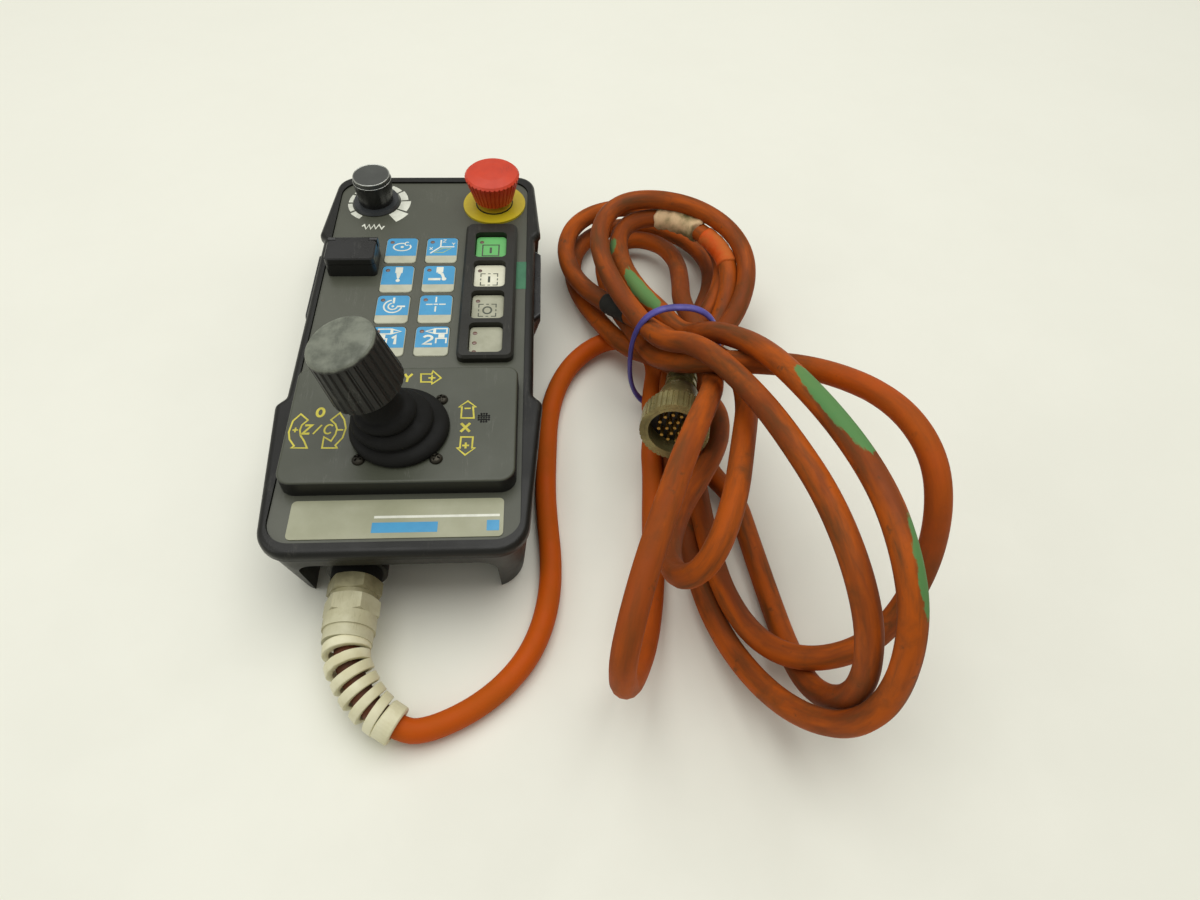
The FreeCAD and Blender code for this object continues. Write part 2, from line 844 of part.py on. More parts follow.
def stop_head():
    top = stop_head_height - stop_dome
    spread = (stop_head_radius - stop_head_base_radius) * stop_head_height / (top - stop_dome)
    top_radius = stop_head_base_radius + spread
    cone = fluted_cone(stop_head_base_radius, top_radius, stop_head_height, stop_rib_depth, stop_ribs)
    envelope = turned((
        (0, 0),
        (stop_head_base_radius, 0),
        (stop_head_radius, top - stop_dome),
        (stop_head_radius - stop_dome, top),
        (stop_head_radius / 2, top + stop_dome * 3 / 4),
        (0, stop_head_height),
    ))
    head = cone.common(envelope)
    head = head.cut(Part.makeCylinder(stop_stem_radius + running_gap, stop_head_height / 2))
    head.translate(Vector(stop_x, stop_y, stop_head_low))
    return head


def flip_base():
    outer = prism(rectangle(flip_x, flip_y, flip_width, flip_length, key_radius), panel_z, flip_base_top)
    inner = rectangle(flip_x, flip_y, flip_width - 2 * flip_wall, flip_length - 4 * flip_wall, key_radius)
    shell = outer.cut(prism(inner, panel_z, flip_base_top))
    ears = []
    for side in (-1, 1):
        x_out = flip_x + side * flip_width / 2
        x_in = x_out - side * flip_ear_width
        low, high = min(x_out, x_in), max(x_out, x_in)
        centre = Vector(low, flip_pin_y, flip_pin_z)
        ears.append(Part.makeCylinder(flip_knuckle_radius, high - low, centre, X_AXIS))
        front, back = flip_pin_y - flip_knuckle_radius, flip_pin_y + flip_knuckle_radius
        ears.append(block(low, high, front, back, flip_base_top - wall, flip_pin_z))
    return joined([shell] + ears).cut(flip_pin())


def flip_pin():
    start = Vector(flip_x - flip_width / 2, flip_pin_y, flip_pin_z)
    return Part.makeCylinder(flip_pin_radius, flip_width, start, X_AXIS)


def flip_lid():
    low = flip_base_top + fit_gap
    high = low + flip_lid_height
    rear = flip_pin_y - flip_knuckle_radius - flip_swing_gap
    front = flip_y - flip_length / 2
    middle = (front + rear) / 2
    body = prism(rectangle(flip_x, middle, flip_width, rear - front, key_radius), low, high)
    edges = [edge for edge in body.Edges if edge.BoundBox.ZMin > high - fit_gap]
    body = body.makeChamfer(key_edge * 2, edges)
    inside = rectangle(flip_x, middle, flip_width - 2 * flip_wall, rear - front - 2 * flip_wall, key_radius)
    half = flip_width / 2 - flip_ear_width - fit_gap
    barrel_start = Vector(flip_x - half, flip_pin_y, flip_pin_z)
    barrel = Part.makeCylinder(flip_knuckle_radius, 2 * half, barrel_start, X_AXIS)
    web_low = flip_pin_z - flip_pin_radius
    web_high = flip_pin_z + flip_knuckle_radius
    web = block(flip_x - half, flip_x + half, rear - flip_wall, flip_pin_y, web_low, web_high)
    lid = joined([body.cut(prism(inside, low, high - flip_wall)), barrel, web])
    return lid.cut(Part.makeCylinder(flip_pin_radius + running_gap, 2 * half, barrel_start, X_AXIS))


def flip_button():
    top = flip_base_top - flip_button_drop
    shape = rectangle(flip_x, flip_y, flip_button_width, flip_button_length, key_radius)
    solid = prism(shape, split_z - flip_button_travel, top)
    edges = [edge for edge in solid.Edges if edge.BoundBox.ZMin > top - fit_gap]
    return solid.makeChamfer(key_edge, edges)


def upright(solid, side):
    # Turns a piece drawn with its length in X and its height in Y so that it stands in a side wall
    stood = solid.transformed(FreeCAD.Matrix(0, 0, 1, 0, 1, 0, 0, 0, 0, 1, 0, 0))
    return stood if side > 0 else stood.mirror(Vector(0, 0, 0), X_AXIS)


def bar_section(end_slope, under_slope, x):
    length = bar_y_high - bar_y_low - 2 * end_slope
    height = bar_z_high - bar_z_low - under_slope
    middle = (bar_y_low + bar_y_high) / 2
    return rounded_outline(rectangle(middle, bar_z_high - height / 2, length, height, bar_radius), x)


def enable_bar(side):
    # Straight inside the wall, then sloping in at the ends and the underside as it stands out
    shoulder = rail_half_width - split_gap
    sections = [
        bar_section(0, 0, bar_inner),
        bar_section(0, 0, shoulder),
        bar_section(bar_end_slope, bar_under_slope, bar_inner + bar_thickness),
    ]
    return upright(Part.makeLoft(sections, True, True), side)


def bar_window(side):
    length = bar_y_high - bar_y_low + 2 * fit_gap
    height = bar_z_high - bar_z_low + 2 * fit_gap
    middle = ((bar_y_low + bar_y_high) / 2, (bar_z_low + bar_z_high) / 2)
    opening = rectangle(middle[0], middle[1], length, height, bar_radius + fit_gap)
    return upright(prism(opening, bar_inner, bar_inner + bar_thickness), side)


def enable_switches():
    bodies = []
    middle = (bar_y_low + bar_y_high) / 2
    front, back = middle - switch_length / 2, middle + switch_length / 2
    outer = bar_inner - bar_travel - fit_gap
    for side in (-1, 1):
        x_low, x_high = sorted((side * outer, side * (outer - switch_thickness)))
        bodies.append(block(x_low, x_high, front, back, floor_z, bar_z_low + switch_height))
    return grouped(bodies)


def main_board():
    outline = rectangle(0, board_y, board_width, board_length, key_radius)
    return prism(outline, board_z, board_z + board_thickness)


def board_standoffs():
    pillars = []
    for x_side in (-1, 1):
        for y_side in (-1, 1):
            x = x_side * (board_width / 2 - standoff_inset)
            y = board_y + y_side * (board_length / 2 - standoff_inset)
            pillars.append(disc(x, y, standoff_radius, floor_z, board_z))
    return grouped(pillars)


def keypad_board():
    left = key_left_x - key_width / 2 - key_gap
    right = guard_x + guard_width / 2
    high = split_z - keypad_board_gap
    return block(left, right, guard_bottom_y, guard_top_y, high - board_thickness, high)


def buzzer():
    return disc(grille_x, grille_y, buzzer_radius, plate_under - buzzer_height, plate_under)


def post_centres():
    front = recess_back_y + wall + post_radius + fit_gap
    x = rail_half_width - side_draft - wall - post_radius - split_gap
    return [(-x, front), (x, front), (-rear_post_x, rear_post_y), (rear_post_x, rear_post_y)]


def case_screws():
    screws = []
    for x, y in post_centres():
        head = disc(x, y, screw_head_radius, sole_recess, sole_recess + screw_head_height)
        shank = disc(x, y, screw_radius, sole_recess, split_z + screw_bite)
        screws.append(joined([head, shank]))
    return grouped(screws)


def along_y(radius, y_start, y_end):
    start = Vector(gland_x, max(y_start, y_end), gland_z)
    return Part.makeCylinder(radius, abs(y_end - y_start), start, -Y_AXIS)


def hexagon(radius):
    turns = [corner * math.pi / 3 for corner in range(6)]
    points = [Vector(radius * math.cos(turn), radius * math.sin(turn), 0) for turn in turns]
    return Part.makePolygon(points + points[:1])


def hex_along_y(flat, y_start, length):
    # Hexagon with a flat on top, crowned at both ends as turned nuts are
    radius = flat / math.sqrt(3)
    nut = Part.Face(hexagon(radius)).extrude(Z_AXIS * length)
    crown = radius - flat / 2
    nut = nut.common(turned((
        (0, 0),
        (flat / 2, 0),
        (radius, crown / 2),
        (radius, length - crown / 2),
        (flat / 2, length),
        (0, length),
    )))
    nut.rotate(Vector(0, 0, 0), X_AXIS, 90)
    nut.translate(Vector(gland_x, y_start, gland_z))
    return nut


def cable_bore(y_start, y_end):
    return along_y(cable_radius + bore_gap, y_start, y_end)


def gland_washer():
    tube = along_y(gland_washer_radius, washer_y, gland_hex_y)
    return tube.cut(along_y(gland_thread_radius + running_gap, washer_y, gland_hex_y))


def gland_lock_nut():
    low = recess_back_y + wall
    nut = hex_along_y(lock_nut_flat, low + lock_nut_length, lock_nut_length)
    return nut.cut(along_y(gland_thread_radius + running_gap, low, low + lock_nut_length))


def gland_body():
    thread_end = recess_back_y + wall + lock_nut_length + wall
    hex_end = gland_hex_y - gland_hex_length
    pieces = [
        hex_along_y(gland_flat, gland_hex_y, gland_hex_length),
        along_y(gland_thread_radius, hex_end, thread_end),
        along_y(gland_neck_radius, gland_cap_y, hex_end),
    ]
    return joined(pieces).cut(cable_bore(gland_cap_y, thread_end))


def gland_cap():
    hex_end = gland_cap_y - gland_cap_hex_length
    ring_end = hex_end - gland_ring_length
    pieces = [
        hex_along_y(gland_flat, gland_cap_y, gland_cap_hex_length),
        along_y(gland_ring_radius, hex_end, ring_end),
        along_y(gland_collar_radius, ring_end, relief_y),
    ]
    return joined(pieces).cut(cable_bore(gland_cap_y, relief_y))


def route_wire(points):
    # Straight runs joined by tangent arcs, each as large as its two runs allow
    edges = []
    start = points[0]
    for before, here, after in zip(points, points[1:], points[2:]):
        back = before - here
        ahead = after - here
        run = bend_share * min(back.Length, ahead.Length)
        back.normalize()
        ahead.normalize()
        half = back.getAngle(ahead) / 2
        radius = run * math.tan(half)
        bisector = (back + ahead).normalize()
        middle = here + bisector * (radius / math.sin(half) - radius)
        edges.append(Part.LineSegment(start, here + back * run).toShape())
        edges.append(Part.Arc(here + back * run, middle, here + ahead * run).toShape())
        start = here + ahead * run
    edges.append(Part.LineSegment(start, points[-1]).toShape())
    return Part.Wire(edges)


def tube_along(wire, radius):
    start = wire.Edges[0].Vertexes[0].Point
    circle = Part.makeCircle(radius, start, wire.Edges[0].tangentAt(wire.Edges[0].FirstParameter))
    return wire.makePipeShell([Part.Wire([circle])], True, True)


def strain_relief():
    # Bend guard: a core with spaced rings that shrink towards the cable, and an end collar
    wire = route_wire(relief_route)
    core = tube_along(wire, relief_core_radius)
    stations = wire.discretize(relief_rings * relief_ring_steps + relief_end_steps)
    pieces = [core]
    for step in range(relief_rings):
        middle = step * relief_ring_steps + relief_ring_steps // 2
        here = stations[middle]
        ahead = (stations[middle + 1] - stations[middle - 1]).normalize()
        radius = relief_ring_radius - relief_ring_shrink * step
        start = here - ahead * (relief_ring_length / 2)
        pieces.append(Part.makeCylinder(radius, relief_ring_length, start, ahead))
    ahead = (stations[-1] - stations[-2]).normalize()
    start = stations[-1] - ahead * relief_end_length
    pieces.append(Part.makeCylinder(relief_end_radius, relief_end_length, start, ahead))
    mouth = Part.makeCylinder(relief_mouth_radius, relief_mouth_depth, lead_route[0], relief_heading)
    return joined(pieces).cut(mouth)


def hank_wire(section):
    y, left, right, bottom, top = section
    dx = (right - left) * hank_chamfer
    dz = (top - bottom) * hank_chamfer
    points = [
        Vector(left + dx, y, bottom),
        Vector(right - dx, y, bottom),
        Vector(right, y, bottom + dz),
        Vector(right, y, top - dz),
        Vector(right - dx, y, top),
        Vector(left + dx, y, top),
        Vector(left, y, top - dz),
        Vector(left, y, bottom + dz),
    ]
    return Part.makePolygon(points + points[:1])


def plug_frame():
    return FreeCAD.Placement(plug_face, FreeCAD.Rotation(Z_AXIS, plug_face - plug_tail))


def placed(shape):
    return shape.transformed(plug_frame().toMatrix())


def cable_hank():
    half = tie_thickness / 2 + fit_gap
    waist = ((tie_y + half,) + hank_waist, (tie_y - half,) + hank_waist)
    body = Part.makeLoft([hank_wire(section) for section in hank_rear + waist + hank_front], True, True)
    room = Part.makeCylinder(plug_ring_radius + fit_gap, 2 * plug_length, Vector(0, 0, -plug_length))
    return body.cut(placed(room))


def tie_band(grow):
    # Slice across the waist of the hank, grown all round
    left, right, bottom, top = hank_waist
    section = (tie_y - tie_thickness / 2, left - grow, right + grow, bottom - grow, top + grow)
    return Part.Face(hank_wire(section)).extrude(Y_AXIS * tie_thickness)


def hank_tie():
    return tie_band(tie_thickness).cut(tie_band(0))


def plug_shell():
    cone_start = -plug_ring_length - plug_shell_wall
    cone_end = cone_start - plug_cone_length
    tail = cone_end - plug_clamp_length
    inner = plug_shell_radius - plug_shell_wall
    groove = plug_clamp_radius - plug_shell_wall / 2
    profile = [
        (cable_radius + bore_gap, cone_start),
        (inner, cone_start),
        (inner, 0),
        (plug_shell_radius, 0),
        (plug_shell_radius, cone_start),
        (plug_neck_radius, cone_end),
    ]
    land = plug_clamp_length / 6
    for step in range(3):
        top = cone_end - 2 * step * land
        profile += [(plug_clamp_radius, top), (plug_clamp_radius, top - land)]
        profile += [(groove, top - land), (groove, top - 2 * land)]
    profile.append((cable_radius + bore_gap, tail))
    return placed(turned(profile))


def plug_ring():
    outer = fluted_cone(plug_ring_radius, plug_ring_radius, plug_ring_length, plug_knurl_depth, plug_knurls)
    outer = outer.cut(Part.makeCylinder(plug_shell_radius + running_gap, plug_ring_length))
    outer.translate(Vector(0, 0, -plug_ring_length))
    return placed(outer)


def plug_insert():
    inner = plug_shell_radius - plug_shell_wall - running_gap
    base = -plug_ring_length
    disc_height = plug_ring_length - plug_socket_depth
    pieces = [Part.makeCylinder(inner, disc_height, Vector(0, 0, base))]
    for ring_radius, count in zip(plug_pin_ring_radii, plug_pin_counts):
        for step in range(count):
            turn = 2 * math.pi * step / count
            foot = Vector(ring_radius * math.cos(turn), ring_radius * math.sin(turn), base)
            pieces.append(Part.makeCylinder(plug_pin_radius, disc_height + plug_pin_length, foot))
    return placed(joined(pieces))


def save(name, shape):
    shape.exportStep("parts/" + name + ".step")
    print(name, "valid", shape.isValid(), "solids", len(shape.Solids), "volume", round(shape.Volume, 1))


os.makedirs("parts", exist_ok=True)
save("lower_case", lower_case())
save("top_cover", top_cover())
save("case_screws", case_screws())
save("keypad_overlay", keypad_overlay())
name_outline = rectangle(name_x, name_y, name_width, name_length, name_radius)
save("name_plate", prism(name_outline, panel_z, panel_z + name_thickness))
save("joystick_plate", joystick_plate())
save("key_guard", key_guard())
windows = window_centres()
guarded_width = window_width - 2 * key_gap
guarded_length = window_length - 2 * key_gap
for number, centre in enumerate(key_centres(), 1):
    save("soft_key_%d" % number, key_block(centre, key_width, key_length, key_radius, panel_z + key_proud))
guarded_top = panel_z + guarded_key_proud
for number, centre in enumerate(windows[:3], 1):
    key = key_block(centre, guarded_width, guarded_length, key_radius, guarded_top)
    save("guarded_key_%d" % number, key)
save("indicator_lens", key_block(windows[3], guarded_width, guarded_length, key_radius, guarded_top))
save("keypad_board", keypad_board())
save("main_board", main_board())
save("board_standoffs", board_standoffs())
save("buzzer", buzzer())
save("dial_can", dial_can())
save("dial_shaft", dial_shaft())
save("dial_skirt", dial_skirt())
save("dial_knob", dial_knob())
save("dial_cap", dial_cap())
save("stop_disc", stop_disc())
save("stop_bezel", stop_bezel())
save("stop_nut", stop_nut())
save("stop_block", stop_block())
save("stop_stem", stop_stem())
save("stop_head", stop_head())
save("flip_base", flip_base())
save("flip_pin", flip_pin())
save("flip_lid", flip_lid())
save("flip_button", flip_button())
save("enable_bar_right", enable_bar(1))
save("enable_bar_left", enable_bar(-1))
save("enable_switches", enable_switches())
save("stick_housing", stick_housing())
save("stick_screws", stick_screws())
save("gimbal_ring", gimbal_ring())
save("lever_shaft", lever_shaft())
save("lever_cross_pin", lever_cross_pin())
save("stick_gaiter", stick_gaiter())
save("stick_knob", stick_knob())
save("gland_washer", gland_washer())
save("gland_body", gland_body())
save("gland_lock_nut", gland_lock_nut())
save("gland_cap", gland_cap())
save("strain_relief", strain_relief())
save("cable_lead", tube_along(route_wire(lead_route), cable_radius))
save("cable_hank", cable_hank())
save("hank_tie", hank_tie())
save("plug_shell", plug_shell())
save("plug_ring", plug_ring())
save("plug_insert", plug_insert())
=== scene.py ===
import bpy, bmesh, math
import numpy as np
from mathutils import Matrix, Vector
from mathutils.geometry import tessellate_polygon


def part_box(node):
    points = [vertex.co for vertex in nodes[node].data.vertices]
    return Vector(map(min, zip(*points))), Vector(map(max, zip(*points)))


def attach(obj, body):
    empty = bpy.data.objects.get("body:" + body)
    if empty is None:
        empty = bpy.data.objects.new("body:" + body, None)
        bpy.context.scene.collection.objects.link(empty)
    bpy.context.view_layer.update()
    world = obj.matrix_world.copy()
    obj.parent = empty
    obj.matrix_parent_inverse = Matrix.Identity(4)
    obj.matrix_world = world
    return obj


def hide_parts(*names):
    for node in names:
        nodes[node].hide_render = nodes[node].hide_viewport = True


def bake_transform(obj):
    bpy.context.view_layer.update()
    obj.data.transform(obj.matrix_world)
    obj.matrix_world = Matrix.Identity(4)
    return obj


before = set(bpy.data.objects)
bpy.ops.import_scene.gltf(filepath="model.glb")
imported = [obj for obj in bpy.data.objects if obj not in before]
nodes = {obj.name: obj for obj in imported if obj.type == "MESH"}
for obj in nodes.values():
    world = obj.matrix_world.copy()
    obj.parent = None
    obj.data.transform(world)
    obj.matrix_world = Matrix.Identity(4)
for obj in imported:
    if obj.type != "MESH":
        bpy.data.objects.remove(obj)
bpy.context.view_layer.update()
scene = bpy.context.scene
mm = 0.001
print("frame loaded:", len(nodes), "nodes")


# colours are noted as they look on screen and turned to light values here
def tone(red, green, blue):
    def lightValue(part):
        part /= 255.0
        return part / 12.92 if part <= 0.04045 else ((part + 0.055) / 1.055) ** 2.4
    return (lightValue(red), lightValue(green), lightValue(blue), 1.0)


# a node with its settings, and inputs that are values or other nodes' outputs
def addNode(tree, kind, inputs=None, **settings):
    node = tree.nodes.new(kind)
    for label, value in settings.items():
        setattr(node, label, value)
    for socket, value in (inputs or {}).items():
        if isinstance(value, bpy.types.NodeSocket):
            tree.links.new(value, node.inputs[socket])
        elif value is not None:
            node.inputs[socket].default_value = value
    return node


# a node group with named inputs and outputs
def newTree(name, treeKind, inputs, outputs):
    tree = bpy.data.node_groups.new(name, treeKind)
    for label, kind, value in inputs:
        socket = tree.interface.new_socket(name=label, in_out="INPUT", socket_type="NodeSocket" + kind)
        if value is not None:
            socket.default_value = value
    for label, kind in outputs:
        tree.interface.new_socket(name=label, in_out="OUTPUT", socket_type="NodeSocket" + kind)
    return tree, tree.nodes.new("NodeGroupInput"), tree.nodes.new("NodeGroupOutput")


def mathNode(tree, operation, first, second=None):
    return addNode(tree, "ShaderNodeMath", {0: first, 1: second}, operation=operation).outputs[0]


def noiseNode(tree, vector, scale, detail=4.0, rough=0.55):
    inputs = {"Vector": vector, "Scale": scale, "Detail": detail, "Roughness": rough}
    return addNode(tree, "ShaderNodeTexNoise", inputs).outputs[0]


def rangeNode(tree, value, low, high, outLow=0.0, outHigh=1.0):
    inputs = {"Value": value, "From Min": low, "From Max": high, "To Min": outLow, "To Max": outHigh}
    return addNode(tree, "ShaderNodeMapRange", inputs, interpolation_type="SMOOTHSTEP").outputs["Result"]


def mixColour(tree, factor, first, second):
    inputs = {0: factor, 6: first, 7: second}
    return addNode(tree, "ShaderNodeMix", inputs, data_type="RGBA").outputs[2]


# soft blotches, fine grain and thin handling scratches, all from object space
handled = {
    "blotchSpan": (0.32, 0.68), "scratchStretch": (1.0, 0.08, 0.3), "scratchTurn": (0.2, 0.1, 0.7),
    "scratchWidth": 0.012, "patchScale": 60.0, "patchSpan": (0.52, 0.66),
}


def makeHandledGroup():
    group, into, out = newTree(
        "handledSurface", "ShaderNodeTree",
        [("Vector", "Vector", None), ("Blotch Scale", "Float", 40.0), ("Grain Scale", "Float", 900.0),
         ("Scratch Scale", "Float", 120.0)],
        [("Blotch", "Float"), ("Grain", "Float"), ("Scratch", "Float")])
    vector = into.outputs["Vector"]
    blotch = noiseNode(group, vector, into.outputs["Blotch Scale"], 5.0, 0.6)
    blotch = rangeNode(group, blotch, *handled["blotchSpan"])
    grain = noiseNode(group, vector, into.outputs["Grain Scale"], 2.0, 0.5)
    stretch = addNode(group, "ShaderNodeMapping", {
        "Vector": vector, "Scale": handled["scratchStretch"], "Rotation": handled["scratchTurn"]})
    lines = noiseNode(group, stretch.outputs[0], into.outputs["Scratch Scale"], 6.0, 0.7)
    thin = mathNode(group, "ABSOLUTE", mathNode(group, "SUBTRACT", lines, 0.5))
    patches = rangeNode(group, noiseNode(group, vector, handled["patchScale"], 2.0), *handled["patchSpan"])
    scratch = mathNode(group, "MULTIPLY", rangeNode(group, thin, handled["scratchWidth"], 0.0), patches)
    for label, value in (("Blotch", blotch), ("Grain", grain), ("Scratch", scratch)):
        group.links.new(value, out.inputs[label])
    return group


handledSurface = makeHandledGroup()
coatRough = 0.12
bumpDepth = 0.0004  # metres


# one finish: a main colour, a second colour in blotches, grain in the bump, scratches of a third colour
def makeFinish(name, main, second, rough=(0.45, 0.6), blotch=40.0, grain=900.0, bump=0.15,
               scratch=0.0, scratchColour=(150, 150, 140), metallic=0.0, coat=0.0, specular=0.5):
    material = bpy.data.materials.new(name)
    material.use_nodes = True
    tree = material.node_tree
    shader = tree.nodes["Principled BSDF"]
    shader.inputs["Metallic"].default_value = metallic
    shader.inputs["Coat Weight"].default_value = coat
    shader.inputs["Coat Roughness"].default_value = coatRough
    shader.inputs["Specular IOR Level"].default_value = specular
    place = tree.nodes.new("ShaderNodeTexCoord")
    inputs = {"Vector": place.outputs["Object"], "Blotch Scale": blotch, "Grain Scale": grain}
    surface = addNode(tree, "ShaderNodeGroup", inputs, node_tree=handledSurface)
    colour = mixColour(tree, surface.outputs["Blotch"], tone(*main), tone(*second))
    if scratch:
        seen = mathNode(tree, "MULTIPLY", surface.outputs["Scratch"], scratch)
        colour = mixColour(tree, seen, colour, tone(*scratchColour))
    tree.links.new(colour, shader.inputs["Base Color"])
    gloss = rangeNode(tree, surface.outputs["Blotch"], 0.0, 1.0, *rough)
    tree.links.new(gloss, shader.inputs["Roughness"])
    relief = addNode(tree, "ShaderNodeBump", {
        "Height": surface.outputs["Grain"], "Strength": bump, "Distance": bumpDepth})
    tree.links.new(relief.outputs["Normal"], shader.inputs["Normal"])
    return material


# metres along one direction of a piece, for colour that changes from end to end
def makeAlongGroup():
    inputs = [(label, "Vector", None) for label in ("Vector", "Origin", "Axis")]
    group, into, out = newTree("alongAxis", "ShaderNodeTree", inputs, [("Height", "Float")])
    offset = addNode(group, "ShaderNodeVectorMath", {
        0: into.outputs["Vector"], 1: into.outputs["Origin"]}, operation="SUBTRACT")
    height = addNode(group, "ShaderNodeVectorMath", {
        0: offset.outputs[0], 1: into.outputs["Axis"]}, operation="DOT_PRODUCT")
    group.links.new(height.outputs["Value"], out.inputs["Height"])
    return group


alongAxis = makeAlongGroup()


# a second colour that comes in over a span of heights, its edge broken up by the finish's blotches
def addBand(material, origin, axis, span, colour, ragged=0.0, metallic=None):
    tree = material.node_tree
    shader = tree.nodes["Principled BSDF"]
    surface = next(n for n in tree.nodes if n.type == "GROUP" and n.node_tree == handledSurface)
    height = addNode(tree, "ShaderNodeGroup", {
        "Vector": surface.inputs["Vector"].links[0].from_socket, "Origin": tuple(Vector(origin) * mm),
        "Axis": tuple(Vector(axis).normalized())}, node_tree=alongAxis).outputs["Height"]
    shift = mathNode(tree, "SUBTRACT", surface.outputs["Blotch"], 0.5)
    height = mathNode(tree, "ADD", height, mathNode(tree, "MULTIPLY", shift, ragged * mm))
    mask = rangeNode(tree, height, span[0] * mm, span[1] * mm)
    before = shader.inputs["Base Color"].links[0].from_socket
    tree.links.new(mixColour(tree, mask, before, tone(*colour)), shader.inputs["Base Color"])
    if metallic is not None:
        tree.links.new(mathNode(tree, "MULTIPLY", mask, metallic), shader.inputs["Metallic"])


# a finished mesh becomes a piece: its finish and the body it rides on
def addPiece(name, mesh, material, body):
    mesh.materials.append(material)
    piece = bpy.data.objects.new(name, mesh)
    scene.collection.objects.link(piece)
    if body:
        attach(piece, body)
    return piece


# mesh helpers, all in millimetres
def makeMesh(name, verts, faces, smooth=False):
    mesh = bpy.data.meshes.new(name)
    mesh.from_pydata([tuple(Vector(v) * mm) for v in verts], [], [tuple(f) for f in faces])
    mesh.update()
    if smooth:
        mesh.polygons.foreach_set("use_smooth", [True] * len(mesh.polygons))
    return mesh


def makePiece(name, verts, faces, material, body, slotName, smooth=True):
    return addPiece(name, makeMesh(name, verts, faces, smooth), material, body)


# rings of equal count joined into one closed skin, ends capped or the ring line looped
def skinRings(rings, looped=False):
    count = len(rings[0])
    verts = [tuple(p) for ring in rings for p in ring]
    faces = []
    steps = len(rings) if looped else len(rings) - 1
    for i in range(steps):
        a, b = i * count, ((i + 1) % len(rings)) * count
        for k in range(count):
            n = (k + 1) % count
            faces.append((a + k, a + n, b + n, b + k))
    if not looped:
        faces.append(tuple(range(count - 1, -1, -1)))
        last = (len(rings) - 1) * count
        faces.append(tuple(range(last, last + count)))
    return verts, faces


# a turned form: profile of (radius, height) pairs about an upright axis
def turned(profile, centre, sides, looped=False):
    angles = [2 * math.pi * k / sides for k in range(sides)]
    rings = [[(centre[0] + r * math.cos(a), centre[1] + r * math.sin(a), z) for a in angles]
             for r, z in profile]
    return skinRings(rings, looped)


# directions, sideways and upright, carried along a path without twist
def carriedFrames(path):
    tangents = np.gradient(path, axis=0)
    tangents /= np.linalg.norm(tangents, axis=1)[:, None]
    side = np.cross(tangents[0], (0.0, 0.0, 1.0))
    side /= np.linalg.norm(side)
    sides = []
    for direction in tangents:
        side = side - direction * side.dot(direction)
        side /= np.linalg.norm(side)
        sides.append(side)
    sides = np.array(sides)
    return tangents, sides, np.cross(tangents, sides)


# how far along a line each of its points lies
def arcAlong(line):
    return np.concatenate([[0], np.cumsum(np.linalg.norm(np.diff(line, axis=0), axis=1))])


# a tube of given radii along a path, with metres along it and turns round it in its UV map
def tubePiece(name, path, radii, sides, material, body, slotName):
    _, sideways, upright = carriedFrames(path)
    angles = np.arange(sides) * 2 * np.pi / sides
    rings = [p + r * (np.cos(angles)[:, None] * s + np.sin(angles)[:, None] * u)
             for p, r, s, u in zip(path, radii, sideways, upright)]
    verts, faces = skinRings(rings)
    piece = makePiece(name, verts, faces, material, body, slotName)
    mesh = piece.data
    arc = arcAlong(path) * mm
    layer = mesh.uv_layers.new(name="along")
    for polygon in mesh.polygons:
        corners = {corner: mesh.loops[corner].vertex_index for corner in polygon.loop_indices}
        closing = any(index % sides == sides - 1 for index in corners.values())
        for corner, index in corners.items():
            ring, turn = divmod(index, sides)
            around = 1.0 if closing and turn == 0 else turn / sides
            layer.data[corner].uv = (arc[ring], around)
    return piece


# the centreline of a listed route: a NURBS curve of order three, read back as points
def routeLine(name, points, detail):
    curve = bpy.data.curves.new(name, "CURVE")
    curve.dimensions = "3D"
    spline = curve.splines.new("NURBS")
    spline.points.add(len(points) - 1)
    for point, place in zip(spline.points, points):
        point.co = (*(Vector(place) * mm), 1.0)
    spline.order_u = 3
    spline.use_endpoint_u = True
    spline.resolution_u = detail
    holder = bpy.data.objects.new(name, curve)
    scene.collection.objects.link(holder)
    bpy.context.view_layer.update()
    shape = bpy.data.meshes.new_from_object(holder.evaluated_get(bpy.context.evaluated_depsgraph_get()))
    line = np.array([v.co for v in shape.vertices], float) / mm
    bpy.data.objects.remove(holder)
    bpy.data.meshes.remove(shape)
    return line


def evenly(line, step):
    arc = arcAlong(line)
    marks = np.linspace(0, arc[-1], max(2, int(arc[-1] / step)))
    return np.stack([np.interp(marks, arc, line[:, k]) for k in range(3)], axis=1)


# flat printed shapes: each shape is a list of loops, later loops being holes
def stroke(points, width, closed=False):
    line = np.array(points, float)
    ahead = np.roll(line, -1, axis=0) - line
    behind = line - np.roll(line, 1, axis=0)
    if not closed:
        ahead[-1], behind[0] = behind[-1], ahead[0]
    before, after = [np.stack([-d[:, 1], d[:, 0]], axis=1) / np.linalg.norm(d, axis=1)[:, None]
                     for d in (behind, ahead)]
    spread = np.maximum(1 + (before * after).sum(1), 0.5)[:, None]  # keeps sharp corners short
    offset = (before + after) / spread * width / 2
    left, right = line + offset, line - offset
    if closed:
        return [left.tolist(), right.tolist()]
    return [left.tolist() + right[::-1].tolist()]


def arcLine(centre, radii, start, end, count=20):
    angles = np.radians(np.linspace(start, end, count))
    return [(centre[0] + radii[0] * math.cos(a), centre[1] + radii[1] * math.sin(a)) for a in angles]


def ovalLine(centre, radii, count):
    return arcLine(centre, radii, 0, 360 - 360 / count, count)


def dot(centre, radius):
    return [ovalLine(centre, (radius, radius), 24)]


def bar(x0, y0, x1, y1):
    return [[(x0, y0), (x1, y0), (x1, y1), (x0, y1)]]


